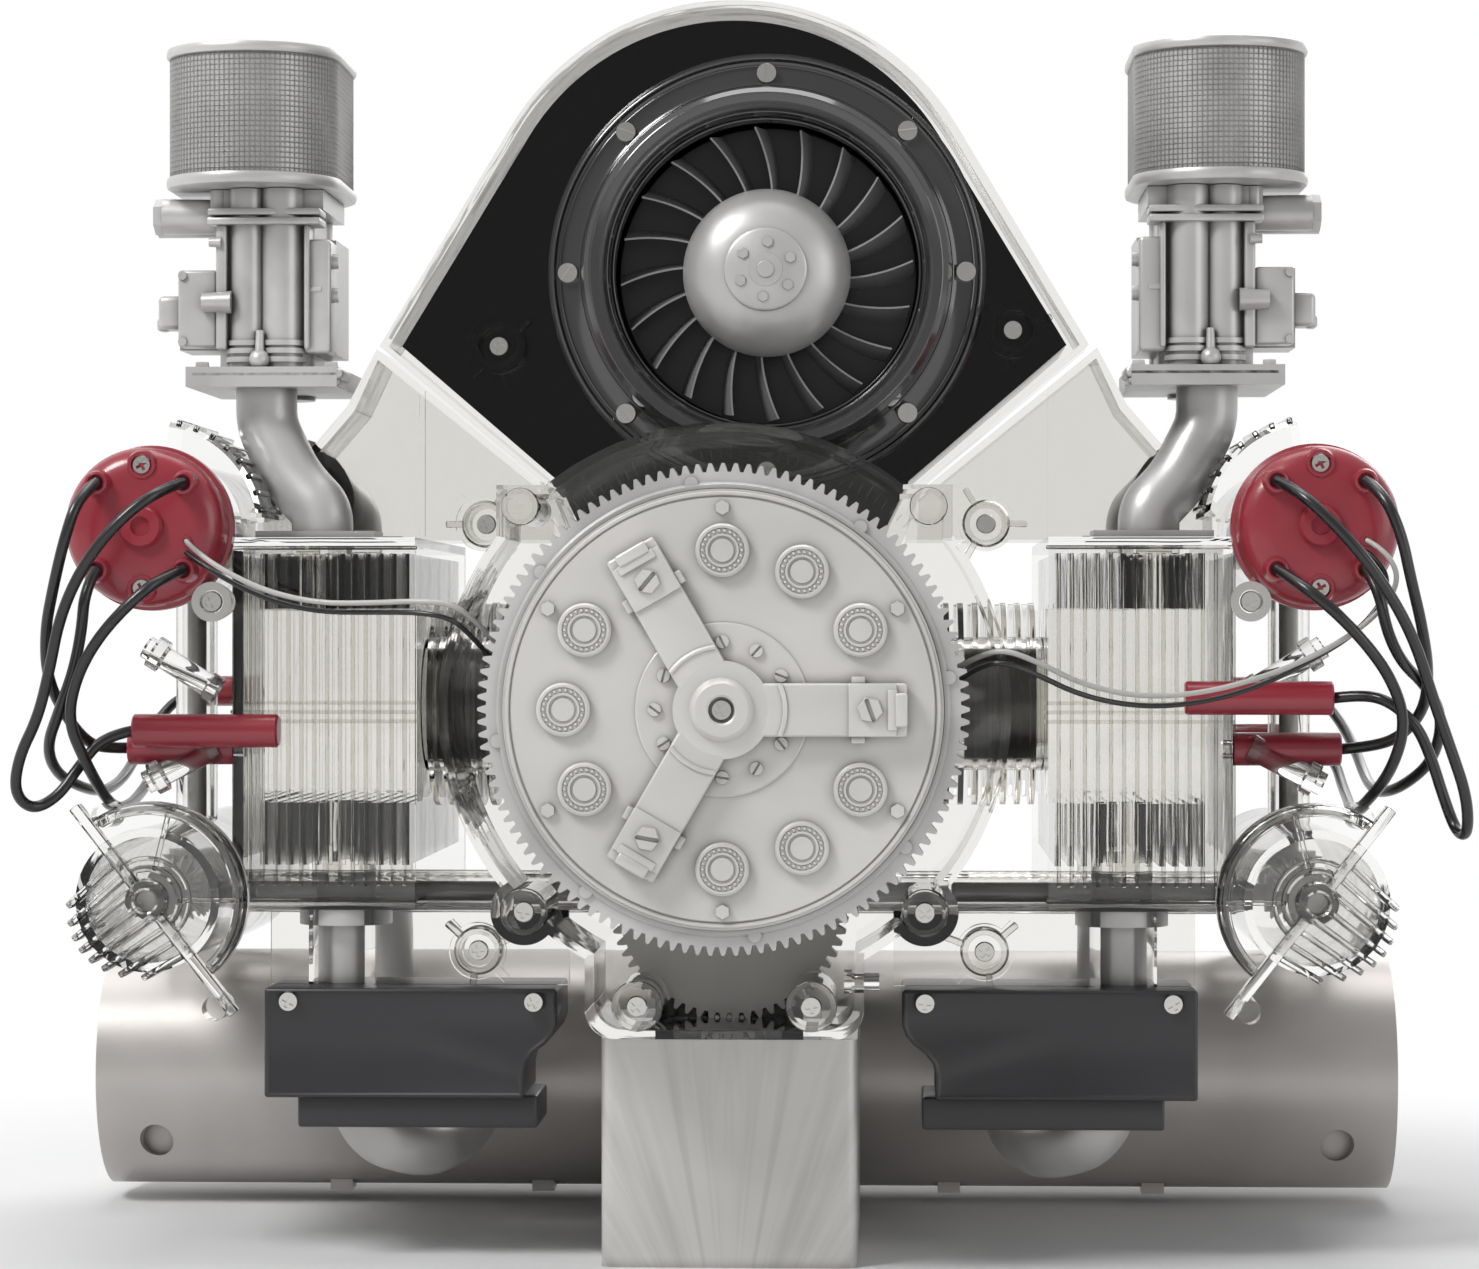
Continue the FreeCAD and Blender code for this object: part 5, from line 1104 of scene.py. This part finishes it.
def studio():
    """A white room for whatever looks straight at it, dimmer in reflections from its front."""
    world = bpy.data.worlds.new("studio")
    world.use_nodes = True
    tree = world.node_tree
    path = step(tree, "LightPath").outputs
    seen = reckon(tree, "MAXIMUM", path["Is Camera Ray"], path["Is Transmission Ray"])
    light = mixed(tree, seen, (0.22, 0.223, 0.228, 1), (1, 1, 1, 1))
    way = step(tree, "SeparateXYZ", {"Vector": step(tree, "TexCoord").outputs["Generated"]})
    room = ranged(tree, way.outputs["Y"], -0.55, 0.35, 0.38, 1.0)
    feed(tree, tree.nodes["Background"], "Color", mixed(tree, path["Is Glossy Ray"], light, room))
    return world


def floor_paint():
    """A pale floor with a shadow on it, which fades into the white studio further out."""
    made, tree, shader = fresh("pale floor")
    feed(tree, shader, "Roughness", 0.9)
    feed(tree, shader, "Specular IOR Level", 0.1)
    feed(tree, shader, "Base Color", (0.82, 0.82, 0.82, 1))
    reach = step(tree, "VectorMath", {0: object_place(tree)}, operation="LENGTH").outputs["Value"]
    fade = step(tree, "MapRange",
                {"Value": reach, "From Min": 0.12, "From Max": 0.42, "To Max": 1.0},
                interpolation_type="SMOOTHSTEP").outputs["Result"]
    path = step(tree, "LightPath").outputs
    straight = reckon(tree, "MAXIMUM", path["Is Camera Ray"], path["Is Transmission Ray"])
    seen = reckon(tree, "MAXIMUM", straight, path["Is Glossy Ray"])
    glow = step(tree, "Emission")
    blend = step(tree, "MixShader", {"Fac": reckon(tree, "MULTIPLY", fade, seen)})
    tree.links.new(shader.outputs["BSDF"], blend.inputs[1])
    tree.links.new(glow.outputs["Emission"], blend.inputs[2])
    leave = next(node for node in tree.nodes if node.type == "OUTPUT_MATERIAL")
    feed(tree, leave, "Surface", blend.outputs["Shader"])
    return made


PIECES = (ENGINE_OT_finishes, ENGINE_OT_cords, ENGINE_OT_clutch, ENGINE_OT_ring, ENGINE_OT_caps,
          ENGINE_OT_boots, ENGINE_OT_filters, ENGINE_OT_carburettors, ENGINE_OT_cam_ends,
          ENGINE_OT_ducts, ENGINE_OT_bell, ENGINE_OT_fan, ENGINE_OT_screws, ENGINE_OT_exhaust)


class ENGINE_PT_panel(bpy.types.Panel):
    """Lists the engine's pieces"""
    bl_idname = "ENGINE_PT_panel"
    bl_label = "Flat-four model engine"
    bl_space_type = "VIEW_3D"
    bl_region_type = "UI"
    bl_category = "Flat Four"

    def draw(self, context):
        for kind in PIECES + (ENGINE_OT_stage,):
            self.layout.operator(kind.bl_idname)
        for group in (context.scene.engine_sizes, context.scene.engine_colours):
            for name in group.bl_rna.properties.keys():
                if name not in {"rna_type", "name"}:
                    self.layout.prop(group, name)


CLASSES = (EngineSizes, EngineColours) + PIECES + (ENGINE_OT_stage, ENGINE_PT_panel)


def register():
    for kind in CLASSES:
        bpy.utils.register_class(kind)
    bpy.types.Scene.engine_sizes = PointerProperty(type=EngineSizes)
    bpy.types.Scene.engine_colours = PointerProperty(type=EngineColours)


def unregister():
    del bpy.types.Scene.engine_colours
    del bpy.types.Scene.engine_sizes
    for kind in reversed(CLASSES):
        bpy.utils.unregister_class(kind)


def main():
    register()
    for kind in (ENGINE_OT_stage,) + PIECES:
        group, name = kind.bl_idname.split(".")
        getattr(getattr(bpy.ops, group), name)()


if __name__ == "__main__":
    main()
